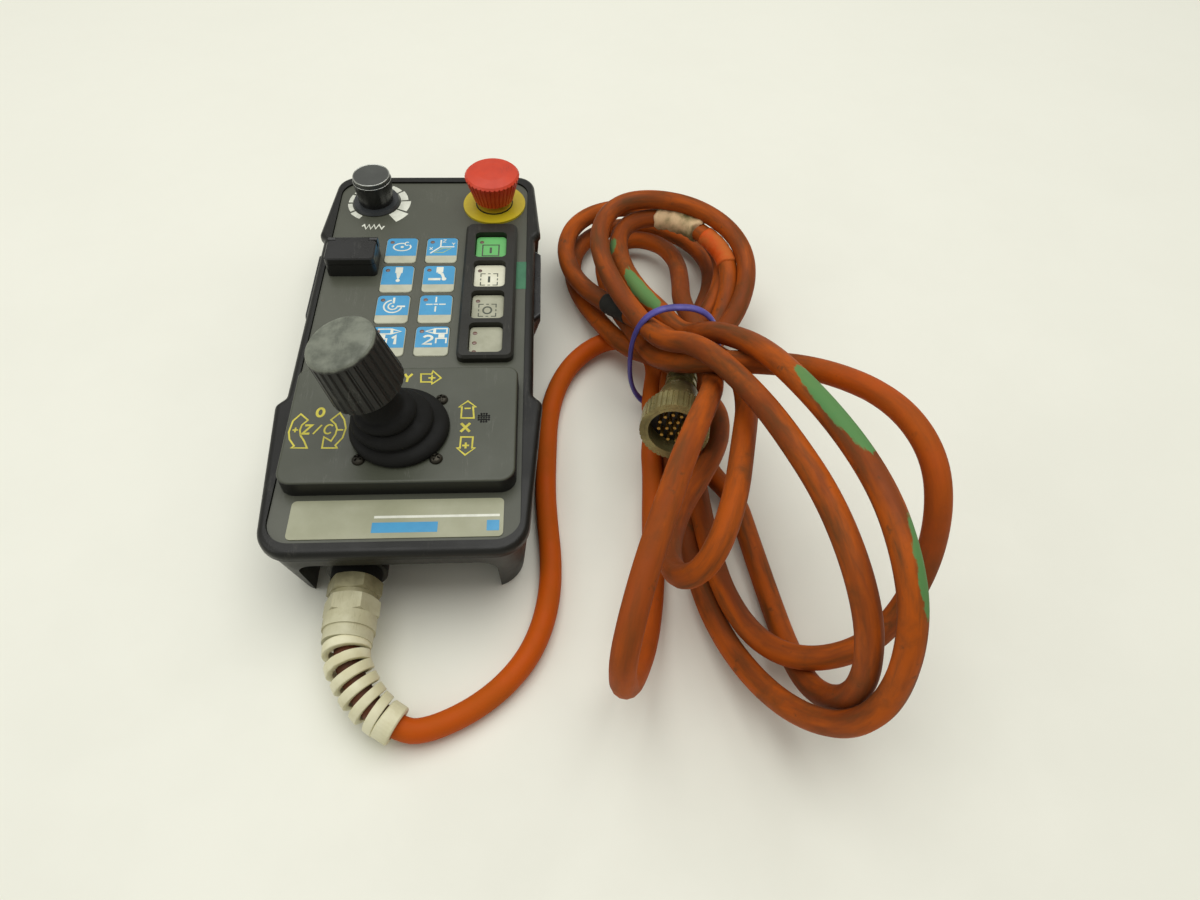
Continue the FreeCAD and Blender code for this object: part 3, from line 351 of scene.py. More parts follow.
# a box with round rear and front corners; a radius of 0 leaves a corner sharp
def softBox(x0, y0, x1, y1, rear, front):
    loop = []
    corners = ((x1 - rear, y1 - rear, rear, 0), (x0 + rear, y1 - rear, rear, 90),
               (x0 + front, y0 + front, front, 180), (x1 - front, y0 + front, front, 270))
    for x, y, radius, start in corners:
        loop += arcLine((x, y), (radius, radius), start, start + 90, 8) if radius else [(x, y)]
    return [loop]


# upright letters and numbers in a unit box, as plain strokes
letterLines = {
    "X": [[(0, 0), (1, 1)], [(0, 1), (1, 0)]],
    "Y": [[(0, 1), (0.5, 0.48), (1, 1)], [(0.5, 0.5), (0.5, 0)]],
    "Z": [[(0, 1), (1, 1), (0, 0), (1, 0)]],
    "C": [arcLine((0.5, 0.5), (0.5, 0.5), 42, 318)],
    "1": [[(0.15, 0.72), (0.62, 1), (0.62, 0)]],
    "2": [arcLine((0.5, 0.72), (0.46, 0.28), 165, -35) + [(0.04, 0), (1, 0)]],
    "+": [[(0, 0.5), (1, 0.5)], [(0.5, 0), (0.5, 1)]],
    "-": [[(0, 0.5), (1, 0.5)]],
}


def letter(sign, low, high, width, lean=0.0):
    wide, tall = high[0] - low[0], high[1] - low[1]
    return [stroke([(low[0] + wide * x + lean * tall * y, low[1] + tall * y) for x, y in line], width)
            for line in letterLines[sign]]


def moved(shapes, x, y):
    return [[[(px + x, py + y) for px, py in loop] for loop in shape] for shape in shapes]


# print is laid as thin closed slabs, in turn a little higher so that strokes that cross share no face
printing = {"thick": 0.05, "line": 0.8, "plateLine": 0.75, "lift": 0.004, "lifts": 5}


def printPiece(name, shapes, height, material, body, thick=printing["thick"]):
    build = bmesh.new()
    for number, shape in enumerate(shapes):
        flat = [p for loop in shape for p in loop]
        top = height + thick + printing["lift"] * (number % printing["lifts"])
        low = [build.verts.new((x * mm, y * mm, height * mm)) for x, y in flat]
        high = [build.verts.new((x * mm, y * mm, top * mm)) for x, y in flat]
        for a, b, c in tessellate_polygon([[Vector((x, y, 0)) for x, y in loop] for loop in shape]):
            build.faces.new((high[a], high[b], high[c]))
            build.faces.new((low[c], low[b], low[a]))
        start = 0
        for loop in shape:
            for k in range(len(loop)):
                i, j = start + k, start + (k + 1) % len(loop)
                build.faces.new((low[i], low[j], high[j], high[i]))
            start += len(loop)
    bmesh.ops.recalc_face_normals(build, faces=build.faces)
    mesh = bpy.data.meshes.new(name)
    build.to_mesh(mesh)
    build.free()
    return addPiece(name, mesh, material, body)


# Geometry Nodes: a tree starts with the carrier's geometry and ends in Realize Instances and Set Material
def growTree(name, inputs):
    inputs = [("Geometry", "Geometry", None)] + inputs + [("Material", "Material", None)]
    return newTree(name, "GeometryNodeTree", inputs, [("Geometry", "Geometry")])


def closeTree(tree, geometry, into, out):
    realize = addNode(tree, "GeometryNodeRealizeInstances", {0: geometry})
    finish = addNode(tree, "GeometryNodeSetMaterial", {
        "Geometry": realize.outputs[0], "Material": into.outputs["Material"]})
    tree.links.new(finish.outputs[0], out.inputs[0])


# a tree is run once on a carrier mesh, and its result kept as a plain piece
def grownPiece(name, carrier, tree, settings, material, body):
    holder = bpy.data.objects.new(name + "Carrier", carrier)
    scene.collection.objects.link(holder)
    modifier = holder.modifiers.new("grow", "NODES")
    modifier.node_group = tree
    settings = {**settings, "Material": material}
    for item in tree.interface.items_tree:
        if item.in_out == "INPUT" and item.name in settings:
            modifier[item.identifier] = settings[item.name]
    bpy.context.view_layer.update()
    mesh = bpy.data.meshes.new_from_object(holder.evaluated_get(bpy.context.evaluated_depsgraph_get()))
    holder.modifiers.remove(modifier)
    bpy.data.objects.remove(holder)
    mesh.name = name
    mesh.materials.clear()
    return addPiece(name, mesh, material, body)


# camera at the photograph's own place and angle
view = {
    "place": (71.2, -302.2, 350.0), "forward": (0.0427, 0.5975, -0.8007), "roll": 2.41,
    "focal": 850.0, "width": 1200.0, "sensor": 36.0,  # focal length and width in the photograph's pixels
}
cameraPlace = np.array(view["place"])
cameraData = bpy.data.cameras.new("photoCamera")
cameraData.sensor_width = view["sensor"]
cameraData.sensor_fit = "HORIZONTAL"
cameraData.lens = view["sensor"] * view["focal"] / view["width"]
cameraData.clip_start = 0.01
camera = bpy.data.objects.new("photoCamera", cameraData)
forward = Vector(view["forward"]).normalized()
level = forward.cross(Vector((0, 0, 1))).normalized()
upward = level.cross(forward)
turn = math.radians(view["roll"])
cameraRight = math.cos(turn) * level + math.sin(turn) * upward
cameraUp = math.cos(turn) * upward - math.sin(turn) * level
camera.matrix_world = Matrix((cameraRight, cameraUp, -forward)).transposed().to_4x4()
camera.location = Vector(view["place"]) * mm
scene.collection.objects.link(camera)
scene.camera = camera

# the cable: lead from the gland, then a hank of loops through one tie; routes listed, in millimetres
cable = {
    "radius": 5.1, "sides": 14, "step": 2.6, "detail": 10,
    "plugTail": (130.3, -23.3, 36.7), "plugFace": (121.5, -66.0, 46.0),
}
leadPoints = [
    (-0.84, -182.48, 9.91), (6.41, -186.49, 8.0), (14.6, -185.2, 6.3), (24.0, -181.4, 5.4),
    (34.2, -175.8, 5.2), (45.0, -167.2, 5.2), (54.8, -155.0, 5.2), (61.0, -140.4, 5.2), (64.2, -124.0, 5.2),
    (64.6, -106.0, 5.2), (63.0, -88.0, 5.2), (61.9, -68.0, 5.2), (62.6, -46.0, 5.2), (63.4, -25.0, 5.2),
    (67.0, -6.0, 5.3), (74.0, 10.4, 5.8), (84.6, 22.4, 7.0), (96.0, 28.2, 8.6), (107.6, 26.6, 10.0),
    (116.6, 19.4, 11.5)]
hankTurns = [
    # first pass through the tie, then the tall loop nearest the controller
    (122, 4, 12), (117, -14, 12), (116, -32, 11), (131, -25, 8), (120, -43, 6), (117, -62, 5.3),
    (113, -87, 5.3), (112, -112, 5.3), (109, -136, 6), (104, -158, 12), (96, -179, 30), (91, -188, 52),
    (90, -187, 72), (93, -177, 82), (99, -160, 90), (107, -140, 95), (115, -118, 95), (125, -91, 88),
    (133, -65, 76), (137, -42, 64), (134, -26, 53), (133, -12, 46), (135, 4, 42),
    # first rear loop
    (132, 31, 34), (138, 56, 25), (141, 85, 16), (135, 111, 9), (119, 118, 8), (103, 111, 9), (94, 91, 12),
    (96, 62, 20), (103, 32, 30), (115, 4, 42), (122, -13, 46), (133, -26, 54),
    # widest front loop, to the right
    (141, -34, 62), (158, -40, 69), (176, -46, 74), (188, -67, 86), (198, -87, 96), (204, -106, 102),
    (209, -122, 99), (211, -134, 88), (212, -143, 68), (207, -153, 50), (199, -161, 36), (188, -167, 28),
    (172, -169, 22), (159, -164, 18), (148, -151, 14), (140, -130, 12), (137, -107, 12), (136, -84, 13),
    (137, -57, 16), (121, -46, 20), (122, -30, 22), (123, -14, 23), (133, 5, 20),
    # second rear loop
    (153, 40, 18), (162, 54, 22), (166, 71, 26), (159, 90, 28), (144, 105, 30), (125, 116, 30),
    (106, 122, 27), (88, 124, 22), (76, 110, 19), (73, 88, 18), (78, 66, 18), (87, 46, 22), (106, 5, 34),
    (114, -12, 44), (124, -20, 50),
    # short inner loop under the connector
    (139, -26, 56), (148, -38, 62), (150, -62, 70), (141, -104, 82), (136, -126, 84), (130, -141, 76),
    (124, -148, 66), (117, -146, 54), (113, -134, 44), (115, -118, 38), (122, -99, 34), (132, -84, 32),
    (142, -68, 32), (148, -51, 30), (147, -31, 28), (140, -32, 24), (137, -14, 23), (144, 4, 23),
    # third rear loop, the highest
    (167, 27, 26), (174, 47, 32), (175, 67, 38), (165, 82, 44), (147, 94, 48), (125, 99, 50), (106, 98, 50),
    (95, 85, 49), (91, 66, 48), (94, 46, 48), (101, 22, 50), (108, 2, 54), (112, -12, 57), (119, -27, 64),
    # long front loop
    (129, -34, 71), (138, -47, 78), (147, -74, 87), (152, -92, 93), (157, -112, 98), (163, -135, 102),
    (167, -155, 102), (171, -173, 96), (175, -185, 82), (177, -193, 60), (174, -191, 40), (168, -181, 24),
    (165, -159, 11), (162, -127, 5.3), (158, -94, 5.3), (157, -65, 5.3), (142, -72, 6), (135, -40, 9),
    (138, -14, 12), (145, 6, 12),
    # fourth rear loop, the one with the dressings
    (159, 34, 20), (165, 44, 30), (167, 60, 36), (158, 75, 40), (142, 91, 41), (124, 99, 40), (108, 93, 39),
    (101, 77, 39), (104, 49, 42), (112, 20, 48), (120, 6, 53), (128, -13, 57), (138, -26, 66),
    # topmost front loop, with the paint on it
    (143, -37, 78), (152, -51, 90), (161, -70, 98), (168, -99, 106), (175, -123, 110), (180, -146, 112),
    (182, -166, 110), (185, -181, 100), (186, -193, 80), (183, -200, 58), (174, -200, 40), (161, -191, 28),
    (150, -176, 18), (140, -154, 9), (133, -129, 5.3), (130, -101, 5.3), (129, -76, 5.3), (122, -78, 6),
    (119, -50, 9), (126, -32, 11), (127, -14, 12), (135, 6, 10),
    # lowest rear loop, then up into the connector
    (149, 52, 9), (160, 72, 7), (163, 92, 6), (155, 110, 6), (138, 123, 8), (117, 128, 9), (98, 125, 8),
    (83, 115, 6), (75, 95, 5.3), (80, 71, 5.3), (91, 46, 9), (106, 9, 18), (126, -4, 28)]
plugEnd = [(129.0, -16.8, 35.2), (131.0, -27.0, 37.5)]

# how strands keep clear of each other, the table, the plug and the tie, and how firmly they hold their route
easing = {
    "rounds": 400, "perSpan": 3, "clear": 10.7, "sameStrand": 26.0, "leastGap": 0.3, "apart": 2.0,
    "floor": 5.25, "floorPush": 6.0,
    "plugEnds": (-0.05, 1.04), "plugOwnEnd": 60.0, "plugLeast": 0.5, "plugPush": 2.0,
    "ringFrom": 0.62, "ringClear": 22.1, "shellFrom": 0.3, "shellClear": 19.7, "tailClear": 15.0,
    "tieCentre": (127.0, -13.0, 37.0), "tieHalf": (15.9, 25.4), "tiePower": 2.6,
    "tieDepth": 7.0, "tieReach": 40.0, "tiePush": 20.0,
    "acrossHold": 0.08, "depthHold": 0.02, "bendHold": 0.1, "bendMost": 9.0, "bendKept": 0.7,
    "speedMix": (0.9, 0.1), "powerMix": (0.999, 0.001), "leastPower": 1e-3,
    "stride": 0.4, "lastStride": 0.02,
}


# weights of a clamped quadratic spline, a few samples to a span
def splineWeights(count, perSpan):
    knots = np.concatenate([[0, 0, 0], np.arange(1, count - 2), [count - 2] * 3]).astype(float)
    times = np.linspace(0, count - 2, (count - 2) * perSpan + 1)
    times[-1] -= 1e-9
    weights = np.zeros((len(times), count))
    for row, t in enumerate(times):
        k = min(int(t), count - 3) + 2
        left = (t - knots[k]) / (knots[k + 1] - knots[k])
        a = (t - knots[k - 1]) / max(knots[k + 1] - knots[k - 1], 1e-9)
        b = (t - knots[k]) / max(knots[k + 2] - knots[k], 1e-9)
        weights[row, k - 2] = (1 - left) * (1 - a)
        weights[row, k - 1] = (1 - left) * a + left * (1 - b)
        weights[row, k] = left * b
    return weights


# strands keep their distance, apart from neighbouring stretches of the same one
def strandPush(line, arc):
    push = np.zeros_like(line)
    gram = line @ line.T
    size = np.diag(gram)
    squared = size[:, None] + size[None] - 2 * gram
    near = (np.abs(arc[:, None] - arc[None]) > easing["sameStrand"]) & (squared < easing["clear"] ** 2)
    i, j = np.nonzero(near)
    apart = line[i] - line[j]
    gap = np.maximum(np.linalg.norm(apart, axis=1), easing["leastGap"])
    np.add.at(push, i, -easing["apart"] * ((easing["clear"] - gap) / gap)[:, None] * apart)
    return push


# the plug's tail, shell and ring each keep strands at their own distance, but not the cable's own end
def plugPush(line, arc):
    tail = np.array(cable["plugTail"])
    axis = np.array(cable["plugFace"]) - tail
    share = np.clip(((line - tail) @ axis) / (axis @ axis), *easing["plugEnds"])
    keep = np.where(share > easing["shellFrom"], easing["shellClear"], easing["tailClear"])
    keep = np.where(share > easing["ringFrom"], easing["ringClear"], keep)
    away = line - (tail + share[:, None] * axis)
    reach = np.linalg.norm(away, axis=1)
    inside = np.where((reach < keep) & (arc < arc[-1] - easing["plugOwnEnd"]), keep - reach, 0)
    return easing["plugPush"] * (inside / np.maximum(reach, easing["plugLeast"]))[:, None] * away


# strands near the tie stay inside its rounded oval
def tiePush(line):
    push = np.zeros_like(line)
    centre, half, bulge = easing["tieCentre"], easing["tieHalf"], easing["tiePower"]
    x, z = (line[:, 0] - centre[0]) / half[0], (line[:, 2] - centre[2]) / half[1]
    ring = (np.abs(x) ** bulge + np.abs(z) ** bulge) ** (1 / bulge)
    near = np.abs(line[:, 1] - centre[1]) < easing["tieDepth"]
    near &= np.abs(line[:, 0] - centre[0]) < easing["tieReach"]
    out = np.where(near & (ring > 1), ring - 1, 0)
    push[:, 0] = easing["tiePush"] * out * np.sign(x) * np.abs(x) ** (bulge - 1)
    push[:, 2] = easing["tiePush"] * out * np.sign(z) * np.abs(z) ** (bulge - 1)
    return push


# strands are eased apart over a fixed number of rounds, away from one another, the plug, the tie and the
# table
def easeStrands(start, held):
    weights = splineWeights(len(start), easing["perSpan"])
    points = start.copy()
    speed = np.zeros_like(points)
    power = np.zeros_like(points)
    rays = start - cameraPlace
    rays /= np.linalg.norm(rays, axis=1)[:, None]
    bends = np.clip(start[:-2] - 2 * start[1:-1] + start[2:], -easing["bendMost"], easing["bendMost"])
    bends *= easing["bendKept"]
    for step in range(easing["rounds"]):
        line = weights @ points
        arc = arcAlong(line)
        push = strandPush(line, arc)
        push[:, 2] += easing["floorPush"] * np.minimum(line[:, 2] - easing["floor"], 0)
        push -= plugPush(line, arc)
        push += tiePush(line)
        pull = weights.T @ push
        shift = points - start
        depth = (shift * rays).sum(1)[:, None] * rays  # towards the camera or away from it
        pull += easing["acrossHold"] * (shift - depth) + easing["depthHold"] * depth
        bend = points[:-2] - 2 * points[1:-1] + points[2:] - bends
        pull[:-2] += easing["bendHold"] * bend
        pull[1:-1] -= 2 * easing["bendHold"] * bend
        pull[2:] += easing["bendHold"] * bend
        pull[held] = 0
        speed = easing["speedMix"][0] * speed + easing["speedMix"][1] * pull
        power = easing["powerMix"][0] * power + easing["powerMix"][1] * pull * pull
        stride = easing["stride"] * (1 - step / easing["rounds"]) + easing["lastStride"]
        points = points - stride * speed / (np.sqrt(power) + easing["leastPower"])
    return points


laid = np.array(leadPoints + hankTurns + plugEnd, float)
heldPoints = np.zeros(len(laid), bool)
heldPoints[:len(leadPoints)] = True
heldPoints[-len(plugEnd):] = True
laid = easeStrands(laid, heldPoints)
cableLine = evenly(routeLine("cableRoute", laid, cable["detail"]), cable["step"])
cableArc = arcAlong(cableLine) * mm

# pale table and soft room light
room = {
    "table": (238, 238, 224), "tableSecond": (235, 235, 221), "size": 3.0,
    "sky": (1.0, 0.99, 0.95), "skyLight": 0.42,
}
lamps = {
    "ceiling": {"place": (0.12, 0.3, 1.6), "aim": (0.1, -0.02, 0.0), "size": 1.8, "power": 21.0},
    "window": {"place": (-1.1, -0.3, 0.9), "aim": (0.05, -0.02, 0.0), "size": 0.9, "power": 2.5},
}
scene.view_settings.view_transform = "Standard"
world = bpy.data.worlds.new("room")
scene.world = world
world.use_nodes = True
sky = world.node_tree.nodes["Background"]
sky.inputs["Color"].default_value = (*room["sky"], 1.0)
sky.inputs["Strength"].default_value = room["skyLight"]
for lampName, lamp in lamps.items():
    lampData = bpy.data.lights.new(lampName, "AREA")
    lampData.size = lamp["size"]
    lampData.energy = lamp["power"]
    lampObject = bpy.data.objects.new(lampName, lampData)
    lampObject.location = lamp["place"]
    aim = Vector(lamp["aim"]) - Vector(lamp["place"])
    lampObject.rotation_euler = aim.to_track_quat("-Z", "Y").to_euler()
    scene.collection.objects.link(lampObject)
tableFinish = makeFinish("tableTop", room["table"], room["tableSecond"], rough=(0.55, 0.7), blotch=9.0,
                         grain=300.0, bump=0.02)
half = room["size"] / 2 / mm
table = makePiece("tableTop", [(-half, -half, 0), (half, -half, 0), (half, half, 0), (-half, half, 0)],
                  [(0, 1, 2, 3)], tableFinish, None, None, smooth=False)
print("camera, lamps and table set")

# finishes of the CAD pieces by material slot: colours as seen, roughness, pattern scales, bump, scratches
cableSolid = dict(main=(150, 72, 28), second=(118, 62, 34), rough=(0.42, 0.6), blotch=30.0, bump=0.1)
slotFinish = {
    "case_plastic": dict(
        main=(35, 35, 28), second=(29, 29, 22), rough=(0.38, 0.52), blotch=26.0, grain=1500.0, bump=0.22,
        scratch=0.3, scratchColour=(98, 96, 86), specular=0.38),
    "panel_film": dict(
        main=(82, 84, 71), second=(75, 77, 64), rough=(0.36, 0.46), blotch=18.0, grain=2200.0, bump=0.08,
        scratch=0.12),
    "plate_plastic": dict(
        main=(74, 77, 63), second=(68, 71, 57), rough=(0.36, 0.46), blotch=18.0, grain=2200.0, bump=0.08,
        scratch=0.15),
    "black_plastic": dict(
        main=(30, 30, 28), second=(23, 23, 21), rough=(0.26, 0.4), blotch=50.0, bump=0.08, scratch=0.3,
        scratchColour=(92, 92, 86)),
    "grey_plastic": dict(
        main=(74, 76, 71), second=(64, 66, 61), rough=(0.35, 0.5), blotch=70.0, bump=0.1, scratch=0.4),
    "knob_plastic": dict(
        main=(29, 29, 24), second=(22, 22, 18), rough=(0.45, 0.6), blotch=45.0, bump=0.15, scratch=0.25),
    "soft_rubber": dict(
        main=(14, 14, 11), second=(21, 21, 18), rough=(0.66, 0.82), blotch=70.0, grain=1400.0, bump=0.1,
        specular=0.25),
    "key_blue": dict(
        main=(192, 193, 170), second=(178, 179, 155), rough=(0.36, 0.48), blotch=90.0, bump=0.05),
    "key_green": dict(
        main=(106, 186, 106), second=(97, 172, 97), rough=(0.34, 0.46), blotch=80.0, bump=0.05),
    "key_cream": dict(
        main=(234, 233, 210), second=(216, 214, 188), rough=(0.36, 0.48), blotch=80.0, bump=0.05),
    "key_beige": dict(
        main=(178, 178, 154), second=(160, 160, 136), rough=(0.38, 0.5), blotch=80.0, bump=0.05),
    "plate_beige": dict(
        main=(166, 167, 138), second=(155, 156, 127), rough=(0.3, 0.42), blotch=40.0, grain=1800.0,
        bump=0.05, scratch=0.2),
    "stop_red": dict(
        main=(208, 60, 22), second=(194, 52, 18), rough=(0.34, 0.5), blotch=60.0, bump=0.08, scratch=0.45,
        scratchColour=(112, 44, 32)),
    "stop_yellow": dict(
        main=(206, 186, 36), second=(192, 172, 30), rough=(0.38, 0.5), blotch=60.0, bump=0.05),
    "steel": dict(main=(150, 150, 145), second=(120, 120, 114), rough=(0.28, 0.42), metallic=1.0, bump=0.06),
    "gimbal_metal": dict(
        main=(132, 132, 126), second=(110, 110, 104), rough=(0.34, 0.5), metallic=1.0, bump=0.06),
    "board": dict(main=(30, 84, 52), second=(24, 70, 43), rough=(0.35, 0.5), blotch=120.0, bump=0.06),
    "gland_cream": dict(
        main=(204, 201, 168), second=(180, 175, 140), rough=(0.4, 0.55), blotch=60.0, bump=0.1,
        scratch=0.25, scratchColour=(130, 122, 92)),
    "cable_orange": cableSolid,
    "hank_fill": cableSolid,
    "tie_blue": dict(main=(88, 80, 164), second=(66, 60, 132), rough=(0.35, 0.5), blotch=80.0, bump=0.1),
    "plug_olive": dict(
        main=(158, 148, 98), second=(114, 105, 66), rough=(0.24, 0.38), blotch=90.0, bump=0.1,
        metallic=0.55, scratch=0.5, scratchColour=(176, 168, 132)),
    "plug_insulator": dict(
        main=(24, 23, 20), second=(34, 33, 29), rough=(0.4, 0.55), blotch=90.0, bump=0.06),
}
finishes = {slotName: makeFinish(slotName, **settings) for slotName, settings in slotFinish.items()}


def cadBoxOf(node):
    low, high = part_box(node)
    return low / mm, high / mm


def dress(node, finish):
    nodes[node].material_slots[0].material = finish


for nodeName, node in nodes.items():
    dress(nodeName, finishes[node.material_slots[0].material.name.split(".")[0]])

# finishes of single CAD pieces that differ from their slot's
ownFinish = {
    # the top cover is a darker copy of the case plastic: its black rim, darkened further with painted shade
    # for its glossy curve
    "top_cover": ("rimBlackShaded", dict(
        main=(25, 25, 20), second=(19, 19, 15), rough=(0.34, 0.48), blotch=26.0, grain=1500.0, bump=0.2,
        scratch=0.3, scratchColour=(86, 84, 76), specular=0.34)),
    "case_screws": ("darkScrew", dict(
        main=(70, 66, 56), second=(46, 44, 38), rough=(0.32, 0.48), blotch=200.0, grain=1400.0, bump=0.1,
        metallic=0.8)),
    # the gland's body in a darker, greyer cream than the gland slot's finish
    "gland_body": ("darkerGland", dict(
        main=(158, 152, 116), second=(118, 112, 80), rough=(0.42, 0.58), blotch=70.0, bump=0.1)),
    "dial_skirt": ("dialGrey", dict(
        main=(58, 61, 62), second=(48, 51, 52), rough=(0.3, 0.42), blotch=60.0, bump=0.08, scratch=0.3)),
}
for nodeName, (finishName, settings) in ownFinish.items():
    finishes[finishName] = makeFinish(finishName, **settings)
    dress(nodeName, finishes[finishName])

# bands of colour on the CAD pieces, by the height in millimetres where each comes in; the seam's band is
# painted shade and the plate's sides are partly painted shade
bands = {
    # the cover's lower edge painted near black: painted shade of the gap where the cover meets the case
    "seamShade": dict(span=(-0.9, -0.3), colour=(8, 8, 6)),
    # the plate's sides painted near black: partly their own dark edge, partly painted shade on the sides
    "plateSidesShade": dict(span=(0.3, 0.9), colour=(17, 17, 14)),
    "knobTop": dict(span=(61.2, 62.2), colour=(102, 106, 92), ragged=1.2),
    "plugPins": dict(span=(-8.9, -8.7), colour=(196, 160, 84), metallic=1.0),
}
stick = {"lean": 14.0, "pivot": (0.0, -68.3, 48.0)}  # degrees to the left, and where the lever turns
stickLean = math.radians(stick["lean"])
stickAxis = Vector((-math.sin(stickLean), 0.0, math.cos(stickLean)))
plateTop = cadBoxOf("joystick_plate")[1].z
seamHeight = cadBoxOf("lower_case")[1].z
downward = (0, 0, -1)
plugAxis = Vector(cable["plugFace"]) - Vector(cable["plugTail"])
addBand(finishes["rimBlackShaded"], (0, 0, seamHeight), downward, **bands["seamShade"])
addBand(finishes["plate_plastic"], (0, 0, plateTop), downward, **bands["plateSidesShade"])
addBand(finishes["knob_plastic"], stick["pivot"], stickAxis, **bands["knobTop"])
addBand(finishes["plug_insulator"], cable["plugFace"], plugAxis, **bands["plugPins"])
print("finishes set on", len(nodes), "CAD pieces")

# cable: one rubber-covered tube from the gland's mouth to the connector, cleaner near the controller
cableLook = {
    "clean": (192, 80, 2), "usual": (176, 82, 10), "brown": (122, 58, 20), "dirty": (92, 58, 26),
    "paint": (84, 138, 80), "rough": (0.58, 0.74), "blotch": 28.0, "bump": 0.12, "specular": 0.18,
    "paler": 0.6, "cleanUntil": (0.25, 0.75), "palerSpan": (1.13, 1.235), "palerEase": 0.04,  # metres along
}
cableDirt = {  # noise scale, detail and roughness, then the span of it that shows and how strongly
    "broad": (0.42, 4.0, 0.6, 0.36, 0.62, 0.95),
    "grime": (0.95, 5.0, 0.62, 0.42, 0.78, 0.9),
    "stains": (52.0, 5.0, 0.65, 0.46, 0.8, 0.8),
    "spots": (140.0, 3.0, 0.6, 0.62, 0.72, 0.7),
}
smearsPerMetre = 36.0
cablePaint = [  # stretches in metres along the cable, how far each mark turns right, and its narrowness
    {"span": (3.008, 3.026), "side": -0.6, "narrow": 0.6},
    {"span": (3.031, 3.080), "side": 0.1, "narrow": 0.45},
    {"span": (3.184, 3.246), "side": 0.95, "narrow": 0.45},
    {"span": (3.268, 3.304), "side": 3.2, "narrow": 0.78},
]
paintEdge = {  # outline of a mark from its middle, then how it is scraped
    "bare": 1.05, "swell": 0.6, "soft": 0.2, "smear": 4.0, "grit": 240.0, "depth": 0.7, "span": (0.36, 0.58),
    "cover": 0.9,
}


# a place that runs slowly along the cable and quickly round it, so that smears lie lengthwise
def smearPlace(tree):
    along = addNode(tree, "ShaderNodeUVMap", uv_map="along")
    split = addNode(tree, "ShaderNodeSeparateXYZ", {0: along.outputs[0]})
    turn = mathNode(tree, "MULTIPLY", split.outputs["Y"], 2 * math.pi)
    return addNode(tree, "ShaderNodeCombineXYZ", {
        "X": mathNode(tree, "MULTIPLY", split.outputs["X"], smearsPerMetre),
        "Y": mathNode(tree, "COSINE", turn), "Z": mathNode(tree, "SINE", turn)}).outputs[0]


def makeCableFinish():
    material = makeFinish("cableOrange", cableLook["clean"], cableLook["usual"], cableLook["rough"],
                          cableLook["blotch"], bump=cableLook["bump"], specular=cableLook["specular"])
    tree = material.node_tree
    colourInput = tree.nodes["Principled BSDF"].inputs["Base Color"]
    place = next(n for n in tree.nodes if n.type == "TEX_COORD").outputs["Object"]
    smears = smearPlace(tree)
    worn, painted = [addNode(tree, "ShaderNodeAttribute", attribute_name=label).outputs["Fac"]
                     for label in ("worn", "painted")]

    def dirt(kind, where):
        scale, detail, rough, low, high, most = cableDirt[kind]
        return rangeNode(tree, noiseNode(tree, where, scale, detail, rough), low, high, 0.0, most)

    colour = mixColour(tree, dirt("broad", smears), tone(*cableLook["usual"]), tone(*cableLook["brown"]))
    colour = mixColour(tree, worn, colourInput.links[0].from_socket, colour)
    marks = mathNode(tree, "MAXIMUM", dirt("stains", place), dirt("spots", place))
    grime = mathNode(tree, "MAXIMUM", dirt("grime", smears), marks)
    grime = mathNode(tree, "MULTIPLY", grime, worn)
    colour = mixColour(tree, grime, colour, tone(*cableLook["dirty"]))
    scrape = mathNode(tree, "ADD", noiseNode(tree, smears, paintEdge["smear"], 5.0, 0.7),
                      noiseNode(tree, place, paintEdge["grit"], 3.0))
    scrape = mathNode(tree, "MULTIPLY", mathNode(tree, "SUBTRACT", scrape, 1.0), paintEdge["depth"])
    paint = mathNode(tree, "ADD", painted, scrape)
    paint = rangeNode(tree, paint, *paintEdge["span"], 0.0, paintEdge["cover"])
    tree.links.new(mixColour(tree, paint, colour, tone(*cableLook["paint"])), colourInput)
    return material


def ringsWithin(span):
    return np.nonzero((cableArc >= span[0]) & (cableArc <= span[1]))[0]


def smooth(values, low, high):
    share = np.clip((values - low) / (high - low), 0, 1)
    return share * share * (3 - 2 * share)


# how worn each ring is, and which side of which stretch carries paint
def cableAttributes(piece):
    sides = cable["sides"]
    tangents, sideways, upright = carriedFrames(cableLine)
    paler = [smooth(cableArc, mark - cableLook["palerEase"], mark) for mark in cableLook["palerSpan"]]
    worn = smooth(cableArc, *cableLook["cleanUntil"]) * (1 - cableLook["paler"] * (paler[0] - paler[1]))
    worn = np.repeat(worn[:, None], sides, axis=1)
    painted = np.zeros((len(cableLine), sides))
    angles = np.arange(sides) * 2 * np.pi / sides
    bare, soft = paintEdge["bare"], paintEdge["soft"]
    for patch in cablePaint:
        rings = ringsWithin(patch["span"])
        for k, i in enumerate(rings):
            toCamera = cameraPlace - cableLine[i]
            toCamera /= np.linalg.norm(toCamera)
            across = np.cross(tangents[i], toCamera)
            across *= math.copysign(1.0, across[0])
            facing = toCamera + patch["side"] * across / np.linalg.norm(across)
            facing /= np.linalg.norm(facing)
            outward = np.cos(angles)[:, None] * sideways[i] + np.sin(angles)[:, None] * upright[i]
            swell = math.sin(math.pi * (k + 0.5) / len(rings)) ** paintEdge["swell"]
            edge = bare - (bare - patch["narrow"]) * swell
            painted[i] = np.maximum(painted[i], smooth(outward @ facing, edge - soft, edge + soft))
    for label, values in (("worn", worn), ("painted", painted)):
        layer = piece.data.attributes.new(label, "FLOAT", "POINT")
        layer.data.foreach_set("value", values.ravel())


cord = tubePiece("cableRun", cableLine, [cable["radius"]] * len(cableLine), cable["sides"],
                 makeCableFinish(), "housing", "cable_orange")
cableAttributes(cord)
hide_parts("cable_lead", "cable_hank")

